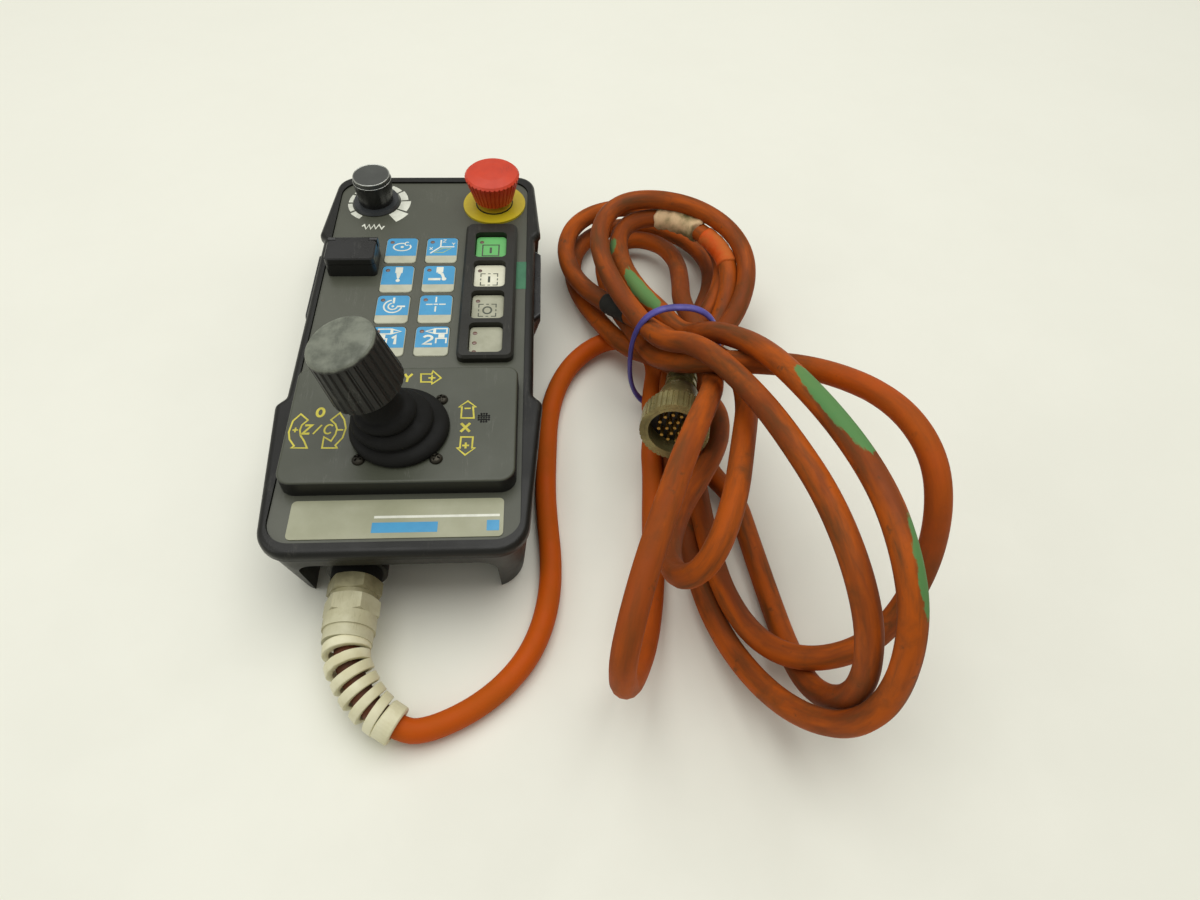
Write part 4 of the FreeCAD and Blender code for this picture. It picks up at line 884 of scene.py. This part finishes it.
# dressings on the cable: a cloth bandage, a strip of orange tape and some black tape
dressings = {
    "bandage": {"span": (2.948, 2.976), "grow": 1.1, "ruffle": 0.5, "fray": 1.5,
                "main": (222, 190, 146), "second": (118, 112, 72)},
    "orangeTape": {"span": (2.920, 2.944), "grow": 0.45, "ruffle": 0.12, "fray": 0.3,
                   "main": (204, 76, 6), "second": (192, 104, 44)},
    "blackTape": {"span": (1.748, 1.772), "grow": 0.3, "ruffle": 0.1, "fray": 0.3,
                  "main": (34, 34, 30), "second": (46, 45, 40)},
}
wrap = {"sides": 28, "step": 0.9, "endRings": 2, "frayRings": 5, "waves": (0.9, 0.37), "waveStart": 1.0}


def makeDressing(name, settings):
    path = evenly(cableLine[ringsWithin(settings["span"])], wrap["step"])
    finish = makeFinish(name, settings["main"], settings["second"], rough=(0.6, 0.8), blotch=75.0,
                        grain=700.0, bump=0.35, specular=0.2)
    radii = []
    for k in range(len(path)):
        edge = min(1.0, (k + 1) / wrap["endRings"], (len(path) - k) / wrap["endRings"])
        wave = math.sin(k * wrap["waves"][0]) * math.sin(k * wrap["waves"][1] + wrap["waveStart"])
        radii.append(cable["radius"] + settings["grow"] * edge + settings["ruffle"] * wave * edge)
    piece = tubePiece(name, path, radii, wrap["sides"], finish, "housing", "cable_orange")
    directions = carriedFrames(path)[0]
    for vertex in piece.data.vertices:  # the ends run out of line
        ring, turn = divmod(vertex.index, wrap["sides"])
        angle = 2 * math.pi * turn / wrap["sides"]
        ragged = math.sin(2 * angle + 0.7) + 0.4 * math.sin(5 * angle)
        share = max(0.0, 1 - min(ring, len(path) - 1 - ring) / wrap["frayRings"])
        vertex.co += Vector(directions[ring]) * (settings["fray"] * mm * ragged * share)
    return piece


dressingPieces = [makeDressing(name, settings) for name, settings in dressings.items()]

# tie: a slim band round the waist of the hank, its oval leaned back
tie = {
    "half": (22.0, 31.6), "centre": (127.0, -13.0, 37.0), "power": 2.5, "width": 4.2, "thick": 2.4,
    "lean": -8.0, "sides": 72, "around": 8,
}


def tieRings():
    rings = []
    lean = math.tan(math.radians(tie["lean"]))
    for k in range(tie["sides"]):
        a = 2 * math.pi * k / tie["sides"]
        c, s = math.cos(a), math.sin(a)
        x = tie["half"][0] * math.copysign(abs(c) ** (2 / tie["power"]), c)
        z = tie["half"][1] * math.copysign(abs(s) ** (2 / tie["power"]), s)
        out = Vector((c / tie["half"][0], 0, s / tie["half"][1])).normalized()
        centre = Vector(tie["centre"]) + Vector((x, -z * lean, z))
        ring = []
        for m in range(tie["around"]):
            b = 2 * math.pi * m / tie["around"]
            thick, width = tie["thick"] / 2 * math.cos(b), tie["width"] / 2 * math.sin(b)
            ring.append(centre + out * thick + Vector((0, width, 0)))
        rings.append(ring)
    return rings


tieVerts, tieFaces = skinRings(tieRings(), looped=True)
tieBand = makePiece("tieBand", tieVerts, tieFaces, finishes["tie_blue"], "housing", "tie_blue")
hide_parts("hank_tie")

# strain relief: a ribbon wound round the cable, ending in a collar
relief = {
    "points": [(-19.4, -150.0, 18.5), (-19.4, -158.5, 18.5), (-16.2, -165.5, 16.7), (-11.0, -174.0, 13.9),
               (-4.6, -180.4, 10.9), (3.0, -184.6, 8.9)],
    "step": 0.5, "detail": 24, "turns": 6.1, "perTurn": 40, "outer": (10.0, 8.7), "thick": 2.9, "width": 4.1,
    "corner": 0.4, "cornerSteps": 2, "coreRadius": 5.15, "coreSides": 20, "coreShort": 4,
    "collarRadius": 8.4, "collarLength": 7.4, "mouth": 5.6, "sides": 32,
}
reliefFinish = makeFinish("reliefCream", (226, 222, 188), (208, 202, 162), rough=(0.4, 0.55), blotch=60.0,
                          bump=0.12)
# the cable inside the wound ribbon is a darker brown copy of the cable's orange: painted shade between the
# ribbon's turns
coreShadeFinish = makeFinish("cableShadedUnderRelief", (120, 62, 30), (84, 52, 32), rough=(0.5, 0.7), blotch=60.0,
                        bump=0.1)
reliefLine = evenly(routeLine("reliefRoute", relief["points"], relief["detail"]), relief["step"])
coreLine = reliefLine[:-relief["coreShort"]]
reliefCore = tubePiece("reliefCore", coreLine, [relief["coreRadius"]] * len(coreLine), relief["coreSides"],
                       coreShadeFinish, "housing", "cable_orange")


def ribbonTree():
    tree, into, out = growTree("woundRibbon", [
        ("Width", "Float", 3.0), ("Thickness", "Float", 2.0), ("Corner", "Float", 0.3)])
    curve = addNode(tree, "GeometryNodeMeshToCurve", {"Mesh": into.outputs["Geometry"]})
    outward = addNode(tree, "GeometryNodeInputNamedAttribute", {"Name": "outward"}, data_type="FLOAT_VECTOR")
    facing = addNode(tree, "GeometryNodeSetCurveNormal", {
        "Curve": curve.outputs[0], "Normal": outward.outputs["Attribute"]}, mode="FREE")
    section = addNode(tree, "GeometryNodeCurvePrimitiveQuadrilateral", {
        "Width": into.outputs["Thickness"], "Height": into.outputs["Width"]})
    rounded = addNode(tree, "GeometryNodeFilletCurve", {
        "Curve": section.outputs[0], "Radius": into.outputs["Corner"],
        "Count": relief["cornerSteps"]}, mode="POLY")
    swept = addNode(tree, "GeometryNodeCurveToMesh", {
        "Curve": facing.outputs[0], "Profile Curve": rounded.outputs[0], "Fill Caps": True})
    closeTree(tree, swept.outputs[0], into, out)
    return tree


# the ribbon's middle line, with the outward direction kept on each point
def ribbonLine():
    _, sideways, upright = carriedFrames(reliefLine)
    length = (len(reliefLine) - 1) * relief["step"]
    reach = (1 - relief["collarLength"] / length) * (len(reliefLine) - 1)
    steps = int(relief["turns"] * relief["perTurn"])
    first, last = relief["outer"]
    places, outwards = [], []
    for k in range(steps + 1):
        share = k / steps
        at = share * reach
        i = min(int(at), len(reliefLine) - 2)
        angle = 2 * math.pi * relief["turns"] * share
        out = math.cos(angle) * sideways[i] + math.sin(angle) * upright[i]
        centre = reliefLine[i] + (reliefLine[i + 1] - reliefLine[i]) * (at - i)
        radius = first + (last - first) * share - relief["thick"] / 2
        places.append(tuple((centre + out * radius) * mm))
        outwards.append(out)
    line = bpy.data.meshes.new("ribbonLine")
    line.from_pydata(places, [(k, k + 1) for k in range(steps)], [])
    layer = line.attributes.new("outward", "FLOAT_VECTOR", "POINT")
    layer.data.foreach_set("vector", np.array(outwards, np.float32).ravel())
    return line


# the collar's profile pairs a radius with a place on the relief's line
def reliefCollar():
    _, sideways, upright = carriedFrames(reliefLine)
    last = len(reliefLine) - 1
    start = last - int(relief["collarLength"] / relief["step"])
    wide, mouth = relief["collarRadius"], relief["mouth"]
    profile = [(mouth - 0.3, start), (wide - 0.6, start), (wide, start + 1), (wide, last - 1),
               (wide - 0.5, last), (mouth, last), (mouth, start + 2)]
    angles = np.arange(relief["sides"]) * 2 * np.pi / relief["sides"]
    rings = [[reliefLine[i] + r * (math.cos(a) * sideways[i] + math.sin(a) * upright[i]) for a in angles]
             for r, i in profile]
    return skinRings(rings, looped=True)


ribbon = {"Width": relief["width"] * mm, "Thickness": relief["thick"] * mm, "Corner": relief["corner"] * mm}
coil = grownPiece("reliefCoil", ribbonLine(), ribbonTree(), ribbon, reliefFinish, "housing")
collar = makePiece("reliefCollar", *reliefCollar(), reliefFinish, "housing", "gland_cream", smooth=False)
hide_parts("strain_relief")
print("cable, dressings, tie and relief made")

# joystick gaiter: rolled rubber tiers, split where the two tilt axes part; (height, radius) from its base
gaiter = {
    "base": (0.0, -68.3, 53.9), "sides": 64, "split": 11.4, "ramp": 12.0, "follow": 10.0, "stretch": 0.985,
    "tiers": [
        (0.0, 20.2), (0.4, 21.0), (1.4, 21.6), (3.0, 21.5), (4.3, 20.6), (5.1, 19.0), (5.4, 17.2),
        (5.6, 16.2), (6.2, 16.6), (7.2, 17.4), (8.6, 17.3), (9.8, 16.4), (10.6, 14.8), (11.0, 13.2),
        (11.4, 12.4)],
    "neck": [
        (11.4, 12.4), (12.0, 12.9), (13.0, 13.5), (14.4, 13.3), (15.6, 12.2), (16.3, 10.6), (16.7, 9.8),
        (17.6, 9.5), (19.0, 9.3), (22.0, 9.0), (26.0, 8.8), (29.0, 8.7), (31.2, 8.6)],
    "footStill": 0.6, "splitStill": 0.2, "neckFull": 25.0,  # where each bend starts and ends
}


def gaiterSkin(profile):
    rings = []
    for height, radius in profile:
        follow = min(height / gaiter["follow"], 1.0)
        tilt = stickLean * max(0.0, min((height - gaiter["split"]) / gaiter["ramp"], 1.0))
        z = gaiter["base"][2] + height * gaiter["stretch"]
        x = gaiter["base"][0] - (z - stick["pivot"][2]) * math.tan(stickLean) * follow
        ring = []
        for k in range(gaiter["sides"]):
            a = 2 * math.pi * k / gaiter["sides"]
            across = radius * math.cos(a)
            y = gaiter["base"][1] + radius * math.sin(a)
            ring.append((x + across * math.cos(tilt), y, z + across * math.sin(tilt)))
        rings.append(ring)
    return skinRings(rings)


rubber = finishes["soft_rubber"]
gaiterFoot = makePiece("gaiterFoot", *gaiterSkin(gaiter["tiers"]), rubber, None, "soft_rubber")
gaiterNeck = makePiece("gaiterNeck", *gaiterSkin(gaiter["neck"]), rubber, None, "soft_rubber")
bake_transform(gaiterFoot)
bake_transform(gaiterNeck)
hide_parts("stick_gaiter")

# joystick knob's crown: a smooth worn rim over the ends of the flutes; (radius, height) along the lever
crown = {
    "profile": [(14.3, 60.3), (14.72, 60.6), (14.78, 61.2), (14.5, 62.2), (13.7, 62.95), (12.4, 63.25),
                (6.0, 63.35), (0.1, 63.4)],
    "sides": 72, "rimHeight": 62.4, "rim": dict(span=(0.2, 1.2), colour=(32, 32, 27), ragged=0.6),
}
wornCrown = makeFinish("wornCrown", (126, 130, 115), (88, 92, 80), rough=(0.48, 0.64), blotch=110.0,
                       grain=1400.0, bump=0.12, scratch=0.4, scratchColour=(58, 60, 52))
addBand(wornCrown, Vector(stick["pivot"]) + stickAxis * crown["rimHeight"], -stickAxis, **crown["rim"])
leaned = Matrix.Translation(stick["pivot"]) @ Matrix.Rotation(-stickLean, 4, "Y")
crownVerts, crownFaces = turned(crown["profile"], (0.0, 0.0), crown["sides"])
crownVerts = [leaned @ Vector(v) for v in crownVerts]
makePiece("knobCrown", crownVerts, crownFaces, wornCrown, "lever_knob", "knob_plastic")
print("gaiter and crown made")

# inks of the printing, the sticker and the lamps' lenses
inkUsual = dict(rough=(0.4, 0.5), blotch=160.0, grain=1800.0, bump=0.05)
inkLook = {
    "filmBlue": dict(main=(68, 156, 202), second=(62, 146, 192), rough=(0.36, 0.48), blotch=60.0),
    "inkWhite": dict(main=(232, 234, 218), second=(214, 216, 200)),
    "inkDark": dict(main=(62, 70, 58), second=(84, 88, 72)),
    "inkYellow": dict(main=(214, 202, 62), second=(190, 180, 56)),
    "inkPale": dict(main=(176, 196, 120), second=(160, 184, 110)),
    "stickerGreen": dict(main=(64, 128, 90), second=(54, 110, 78), rough=(0.45, 0.6), blotch=60.0, bump=0.1),
    "lampLens": dict(main=(124, 92, 80), second=(96, 74, 62), rough=(0.2, 0.32), blotch=300.0, coat=0.4),
}
ink = {name: makeFinish(name, **{**inkUsual, **look}) for name, look in inkLook.items()}
line = printing["line"]

# pictograms of the film keys in the keys' order, from each key's middle
keySigns = {
    "turning": [stroke(arcLine((0.2, 2.6), (4.6, 3.0), 78, 394, 40), line), dot((0.2, 2.6), 0.85),
                *letter("C", (1.5, 3.9), (3.6, 6.6), 0.6)],
    "axes": [stroke([(-0.8, 8.3), (-0.8, 2.6), (6.6, 2.6)], line), stroke([(-0.8, 2.6), (-6.0, -2.6)], line),
             *letter("Z", (0.3, 6.4), (1.9, 8.4), 0.45), *letter("Y", (5.2, 3.8), (6.8, 5.9), 0.45),
             *letter("X", (-6.6, 0.2), (-5.0, 2.2), 0.45)],
    "probe": [bar(-1.4, 4.4, 2.4, 8.8), [[(-0.8, 4.4), (1.8, 4.4), (1.1, 0.4), (-0.1, 0.4)]],
              bar(0.2, -0.8, 0.8, 0.4), dot((0.5, -1.4), 1.1)],
    "crankedProbe": [bar(-1.6, 4.6, 2.0, 8.9), stroke([(-0.4, 4.7), (1.6, 3.4), (2.6, 0.2)], 1.5),
                     dot((2.8, -0.4), 1.25), bar(-5.4, -1.4, 1.0, 0.3)],
    "target": [stroke(arcLine((0, 1.9), (4.5, 4.5), 102, 350, 36), line),
               stroke(arcLine((0, 1.9), (2.3, 2.3), 108, 342, 24), line), dot((0, 1.9), 0.7),
               stroke([(0.2, 4.0), (0.2, 8.2)], 1.1), stroke([(2.0, 1.8), (6.2, 1.8)], 1.1)],
    "cross": [bar(-5.0, 2.7, -1.6, 3.5), bar(1.6, 2.7, 5.0, 3.5), bar(-0.4, 4.6, 0.4, 8.6),
              bar(-0.4, -2.2, 0.4, 1.7), bar(-1.1, 2.7, 1.1, 3.5)],
    "firstHead": [stroke([(-5.0, 8.2), (1.2, 8.2), (1.2, 4.9), (-5.0, 4.9)], line, True),
                  stroke([(1.8, 8.0), (6.0, 6.5), (1.8, 5.1)], line, True), bar(-4.4, 2.0, -1.4, 4.4),
                  stroke([(-5.4, -1.8), (-5.4, 1.5), (-0.6, 1.5), (-0.6, -1.8)], line),
                  *letter("1", (1.6, -2.2), (4.9, 3.4), 1.5)],
    "secondHead": [stroke([(7.0, 8.2), (1.2, 8.2), (1.2, 4.9), (7.0, 4.9)], line, True),
                   stroke([(0.6, 8.0), (-3.4, 6.5), (0.6, 5.1)], line, True), bar(3.0, 2.0, 6.0, 4.4),
                   stroke([(2.0, -1.8), (2.0, 1.5), (7.0, 1.5), (7.0, -1.8)], line),
                   *letter("2", (-4.2, -2.2), (0.2, 3.4), 1.3)],
}
film = {"share": 0.72, "corner": 2.1, "inset": 0.35}  # the blue part of a key, from its rear edge
keyLamp = {
    "radius": 1.15, "sides": 24,
    "dome": [(1.0, 0.0), (1.0, 0.08), (0.8, 0.16), (0.4, 0.22)],  # shares of the radius, and heights
    "tip": (0.1, 0.24),
    "onFilm": (3.05, -3.6), "onGuarded": (3.0, -4.6), "onLens": ((2.6, -4.4), (2.6, -11.0), (2.6, -17.0)),
}


def middleOf(low, high):
    return (low.x + high.x) / 2, (low.y + high.y) / 2


# a small domed lens, placed from the rear left corner of the key or lens that carries it
def makeLamp(name, low, high, place, lift, body):
    z = high.z + lift
    profile = [(keyLamp["radius"] * share, z + rise) for share, rise in keyLamp["dome"]]
    profile.append((keyLamp["tip"][0], z + keyLamp["tip"][1]))
    centre = (low.x + place[0], high.y + place[1])
    makePiece(name, *turned(profile, centre, keyLamp["sides"]), ink["lampLens"], body, "stop_red")


for number, sign in enumerate(keySigns.values(), 1):
    keyName = "soft_key_%d" % number
    body = "body_" + keyName
    low, high = cadBoxOf(keyName)
    filmLow = high.y - (high.y - low.y) * film["share"]
    filmBox = softBox(low.x + film["inset"], filmLow, high.x - film["inset"], high.y - film["inset"],
                      film["corner"], 0)
    filmTop = high.z + printing["thick"]
    printPiece("keyFilm%d" % number, [filmBox], high.z, ink["filmBlue"], body)
    sign = moved(sign, *middleOf(low, high))
    printPiece("keySign%d" % number, sign, filmTop, ink["inkWhite"], body)
    makeLamp("keyLamp%d" % number, low, high, keyLamp["onFilm"], printing["thick"], body)

# a small plan of a plate between the axes of the second key
low, high = cadBoxOf("soft_key_2")
plan = stroke([(-4.0, -2.0), (0.2, 1.4), (4.8, 1.4), (0.8, -2.0)], 0.5, True)
printPiece("keyPlan", moved([plan], *middleOf(low, high)), high.z + printing["thick"], ink["inkPale"],
           "body_soft_key_2")


# guarded keys: a framed stroke or ring, the frame whole on the first and dashed on the others
guardSign = {
    "half": 4.35, "line": 0.7, "dashLine": 0.55, "corner": 0.45, "dash": 0.16, "place": (-0.2, -1.4),
}


def dashedFrame():
    half, width = guardSign["half"], guardSign["dashLine"]
    turnIn, dash = half * guardSign["corner"], half * guardSign["dash"]
    runs = []
    for k in range(4):
        c, s = round(math.cos(k * math.pi / 2)), round(math.sin(k * math.pi / 2))
        corner = [(half, turnIn), (half, half), (turnIn, half)]
        runs.append(stroke([(px * c - py * s, px * s + py * c) for px, py in corner], width))
        runs.append(stroke([(half * c + dash * s, half * s - dash * c),
                            (half * c - dash * s, half * s + dash * c)], width))
    return runs


half = guardSign["half"]
wholeFrame = stroke([(-half, -half), (half, -half), (half, half), (-half, half)], guardSign["line"], True)
onBar = bar(-0.6, -2.3, 0.6, 2.3)
offRing = stroke(ovalLine((0, 0), (2.1, 2.4), 30), 0.9, True)
for number, sign in enumerate(([wholeFrame, onBar], dashedFrame() + [onBar], dashedFrame() + [offRing]), 1):
    keyName = "guarded_key_%d" % number
    body = "body_" + keyName
    low, high = cadBoxOf(keyName)
    x, y = middleOf(low, high)
    sign = moved(sign, x + guardSign["place"][0], y + guardSign["place"][1])
    printPiece("guardSign%d" % number, sign, high.z, ink["inkDark"], body)
    makeLamp("guardLamp%d" % number, low, high, keyLamp["onGuarded"], 0.0, body)
for number, place in enumerate(keyLamp["onLens"], 1):
    makeLamp("lensLamp%d" % number, *cadBoxOf("indicator_lens"), place, 0.0, "housing")

# joystick plate: yellow axis letters and outlined arrows
axisMarks = {
    "turnLeft": [
        (-45.1, -58.9), (-41.4, -62.4), (-43.6, -65.2), (-44.0, -68.0), (-43.2, -71.0), (-41.2, -74.0),
        (-39.3, -77.9), (-46.1, -77.7), (-45.0, -76.7), (-47.6, -73.0), (-48.6, -69.0), (-47.9, -62.8)],
    "turnRight": [
        (-28.0, -58.6), (-31.4, -62.5), (-29.0, -65.0), (-28.0, -67.7), (-28.2, -70.6), (-29.6, -74.3),
        (-33.0, -72.0), (-32.9, -78.0), (-26.5, -78.1), (-27.4, -76.6), (-24.9, -72.6), (-24.2, -67.2),
        (-25.6, -62.4)],
    "acrossRight": [(5.8, -35.9), (6.2, -40.8), (11.2, -40.9), (11.3, -42.1), (15.2, -38.5), (11.2, -34.1),
                    (10.8, -36.0)],
    "forward": [(28.3, -52.6), (32.1, -56.1), (30.8, -56.1), (31.5, -62.5), (25.8, -62.4), (25.8, -56.0),
                (24.5, -56.0)],
    "back": [(26.4, -73.1), (31.6, -73.2), (31.5, -79.2), (32.8, -79.2), (28.7, -82.9), (25.0, -79.1),
             (26.3, -79.1)],
}
plateLetters = [  # sign, low and high corner, line width, lean
    ("+", (-47.2, -69.2), (-44.8, -66.6), 0.7), ("-", (-27.8, -69.4), (-25.2, -67.0), 0.8),
    ("+", (9.4, -40.0), (12.6, -36.8), 0.8), ("-", (-12.6, -40.0), (-9.8, -36.8), 0.8),
    ("-", (27.0, -58.4), (29.8, -55.4), 0.8), ("+", (27.2, -79.4), (30.2, -76.2), 0.9),
    ("Z", (-42.6, -70.0), (-39.6, -65.4), 1.2, 0.1), ("C", (-33.6, -70.2), (-30.0, -65.2), 0.8, 0.1),
    ("X", (26.0, -70.2), (30.0, -65.4), 1.2), ("Y", (-2.0, -40.7), (1.4, -35.8), 1.1, 0.1),
]
axisMarks["acrossLeft"] = [(-0.4 - px, py) for px, py in reversed(axisMarks["acrossRight"])]
plateShapes = [stroke(loop, printing["plateLine"], True) for loop in axisMarks.values()]
plateShapes += [shape for sign in plateLetters for shape in letter(*sign)]
plateShapes += [stroke([(-38.0, -70.3), (-34.9, -65.3)], 0.7)]
plateShapes += [stroke(ovalLine((-36.6, -58.1), (1.5, 2.3), 30), 1.2, True)]
printPiece("plateMarks", plateShapes, plateTop, ink["inkYellow"], "housing")

# name plate: a white line, a blue bar and a blue square, the rest bare
nameMarks = {
    "line": (-8.6, -108.9, 43.9, -107.7), "bar": (-9.1, -116.0, 18.2, -111.0),
    "square": (38.6, -115.8, 43.8, -110.7),
}
nameTop = cadBoxOf("name_plate")[1].z
printPiece("nameLine", [bar(*nameMarks["line"])], nameTop, ink["inkWhite"], "housing")
nameBars = [bar(*nameMarks["bar"]), bar(*nameMarks["square"])]
printPiece("nameBars", nameBars, nameTop, ink["filmBlue"], "housing")

# speed dial: a scale of growing wedges and a wave on the panel, bright rings on the knob
panelTop = cadBoxOf("keypad_overlay")[1].z
dialCentre = middleOf(*cadBoxOf("dial_cap"))
dialScale = {  # wedges as start and end angle and outer radius
    "inner": 13.5, "waveLine": 0.95,
    "wedges": [
        (216, 241, 16.6), (185, 211, 16.0), (154, 180, 15.8), (123, 149, 15.9), (93, 118, 16.1),
        (66, 89, 16.4), (39, 63, 16.8), (7, 35, 17.6), (-25, 3, 19.1), (-54, -29, 21.3)],
    "wave": [
        (-38.0, 81.8), (-36.9, 83.2), (-35.7, 79.5), (-34.3, 83.2), (-33.1, 79.5), (-31.6, 83.2),
        (-30.4, 79.6), (-28.9, 83.2), (-27.1, 79.5), (-26.0, 82.0)],
}


def wedge(start, end, radius):
    inner = (dialScale["inner"], dialScale["inner"])
    return [arcLine(dialCentre, (radius, radius), start, end, 8) + arcLine(dialCentre, inner, end, start, 8)]


wedges = [wedge(*sizes) for sizes in dialScale["wedges"]]
wave = stroke(dialScale["wave"], dialScale["waveLine"])
printPiece("dialScale", wedges + [wave], panelTop, ink["inkWhite"], "housing")
chrome = makeFinish("chromeRing", (196, 198, 192), (164, 166, 158), rough=(0.12, 0.26), blotch=200.0,
                    grain=1800.0, bump=0.04, metallic=1.0)
dialRings = {  # how far in from the piece's edge, how far below its top, and how thick
    "dialCapRing": {"on": "dial_cap", "inset": 0.2, "drop": 0.1, "width": 0.75},
    "dialKnobRing": {"on": "dial_knob", "inset": 0.3, "drop": 0.25, "width": 0.45},
}
ringSides, ringRound = 64, 10


def makeRing(name, ring):
    low, high = cadBoxOf(ring["on"])
    radius, height = (high.x - low.x) / 2 - ring["inset"], high.z - ring["drop"]
    half = ring["width"] / 2
    angles = np.arange(ringRound) * 2 * np.pi / ringRound
    profile = [(radius + half * math.cos(a), height + half * math.sin(a)) for a in angles]
    verts, faces = turned(profile, dialCentre, ringSides, looped=True)
    makePiece(name, verts, faces, chrome, "speed_dial", "steel")


for ringName, ring in dialRings.items():
    makeRing(ringName, ring)

# stop button: yellow film inside the black bezel ring
bezelFilm = {"radii": (9.8, 5.6), "count": 60}
low, high = cadBoxOf("stop_bezel")
bezelMiddle = middleOf(low, high)
bezelLoops = [ovalLine(bezelMiddle, (radius, radius), bezelFilm["count"]) for radius in bezelFilm["radii"]]
printPiece("bezelFilm", [bezelLoops], high.z, finishes["stop_yellow"], "housing")

# green sticker on the panel's right edge
sticker = {"box": (47.6, 30.7, 52.8, 51.7), "corner": 0.3, "thick": 0.1}
printPiece("edgeSticker", [softBox(*sticker["box"], sticker["corner"], sticker["corner"])], panelTop,
           ink["stickerGreen"], "housing", sticker["thick"])
print("printing, lamps and rings made")

# screws with a cross recess, and dark discs on the small grille as painted shade in its holes: both set out
# by the same Geometry Nodes
screwHead = {
    "radius": 2.9, "height": 1.9, "crown": 2.6, "recess": 0.75, "slot": 0.42, "reach": 1.75, "eye": 0.02,
    "rings": 12, "sides": 48, "spread": 16.5, "turn": 1.4, "seed": 4,
}
grille = {"centre": (35.9, -62.4), "pitch": 1.15, "radius": 2.9, "reach": 3, "hole": 0.51, "sides": 24}


# a dome in rings from its middle to its rim, pressed in where the cross recess is
def screwHeadMesh():
    rings = []
    for r in range(screwHead["rings"] + 1):
        radius = screwHead["radius"] * max(r / screwHead["rings"], screwHead["eye"])
        fall = (radius / screwHead["radius"]) ** screwHead["crown"]
        z = screwHead["height"] * math.sqrt(max(0.0, 1 - fall))
        ring = []
        for k in range(screwHead["sides"]):
            a = 2 * math.pi * k / screwHead["sides"]
            x, y = radius * math.cos(a), radius * math.sin(a)
            inCross = min(abs(x), abs(y)) < screwHead["slot"] and radius < screwHead["reach"]
            ring.append((x, y, z - (screwHead["recess"] if inCross else 0.0)))
        rings.append(ring)
    verts, faces = skinRings(rings)
    return makeMesh("screwHead", verts, [(face[0], *face[:0:-1]) for face in faces])  # turned to face out


def settingTree():
    tree, into, out = growTree("setOnPlate", [
        ("Shape", "Object", None), ("Turn", "Float", 0.6), ("Seed", "Int", 4)])
    shape = addNode(tree, "GeometryNodeObjectInfo", {"Object": into.outputs["Shape"]})
    spin = addNode(tree, "FunctionNodeRandomValue", {3: into.outputs["Turn"], "Seed": into.outputs["Seed"]},
                   data_type="FLOAT")
    angle = addNode(tree, "ShaderNodeCombineXYZ", {"Z": spin.outputs[1]})
    points = addNode(tree, "GeometryNodeMeshToPoints", {"Mesh": into.outputs["Geometry"]})
    placed = addNode(tree, "GeometryNodeInstanceOnPoints", {
        "Points": points.outputs[0], "Instance": shape.outputs["Geometry"], "Rotation": angle.outputs[0]})
    closeTree(tree, placed.outputs[0], into, out)
    return tree


setOnPlate = settingTree()


def setPieces(name, shape, spots, turn, material):
    holder = bpy.data.objects.new(name + "Shape", shape)
    scene.collection.objects.link(holder)
    carrier = makeMesh(name + "Spots", [(x, y, plateTop) for x, y in spots], [])
    settings = {"Shape": holder, "Turn": turn, "Seed": screwHead["seed"]}
    piece = grownPiece(name, carrier, setOnPlate, settings, material, "housing")
    bpy.data.objects.remove(holder)
    return piece


spread = (-screwHead["spread"], screwHead["spread"])
screwSpots = [(x, stick["pivot"][1] + y) for x in spread for y in spread]
plateScrews = setPieces("plateScrews", screwHeadMesh(), screwSpots, screwHead["turn"],
                        finishes["darkScrew"])
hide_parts("stick_screws")
holeSteps = [grille["pitch"] * k for k in range(-grille["reach"], grille["reach"] + 1)]
holeSpots = [(grille["centre"][0] + x, grille["centre"][1] + y) for x in holeSteps for y in holeSteps
             if math.hypot(x, y) < grille["radius"]]
# dark rubber discs on the plate's top: painted shade inside the grille's holes
holeProfile = [(grille["hole"], 0.0), (grille["hole"], printing["thick"])]
holeShadeMesh = makeMesh("grilleHole", *turned(holeProfile, (0.0, 0.0), grille["sides"]))
setPieces("grilleHoles", holeShadeMesh, holeSpots, 0.0, finishes["soft_rubber"])
print("screws and grille made")
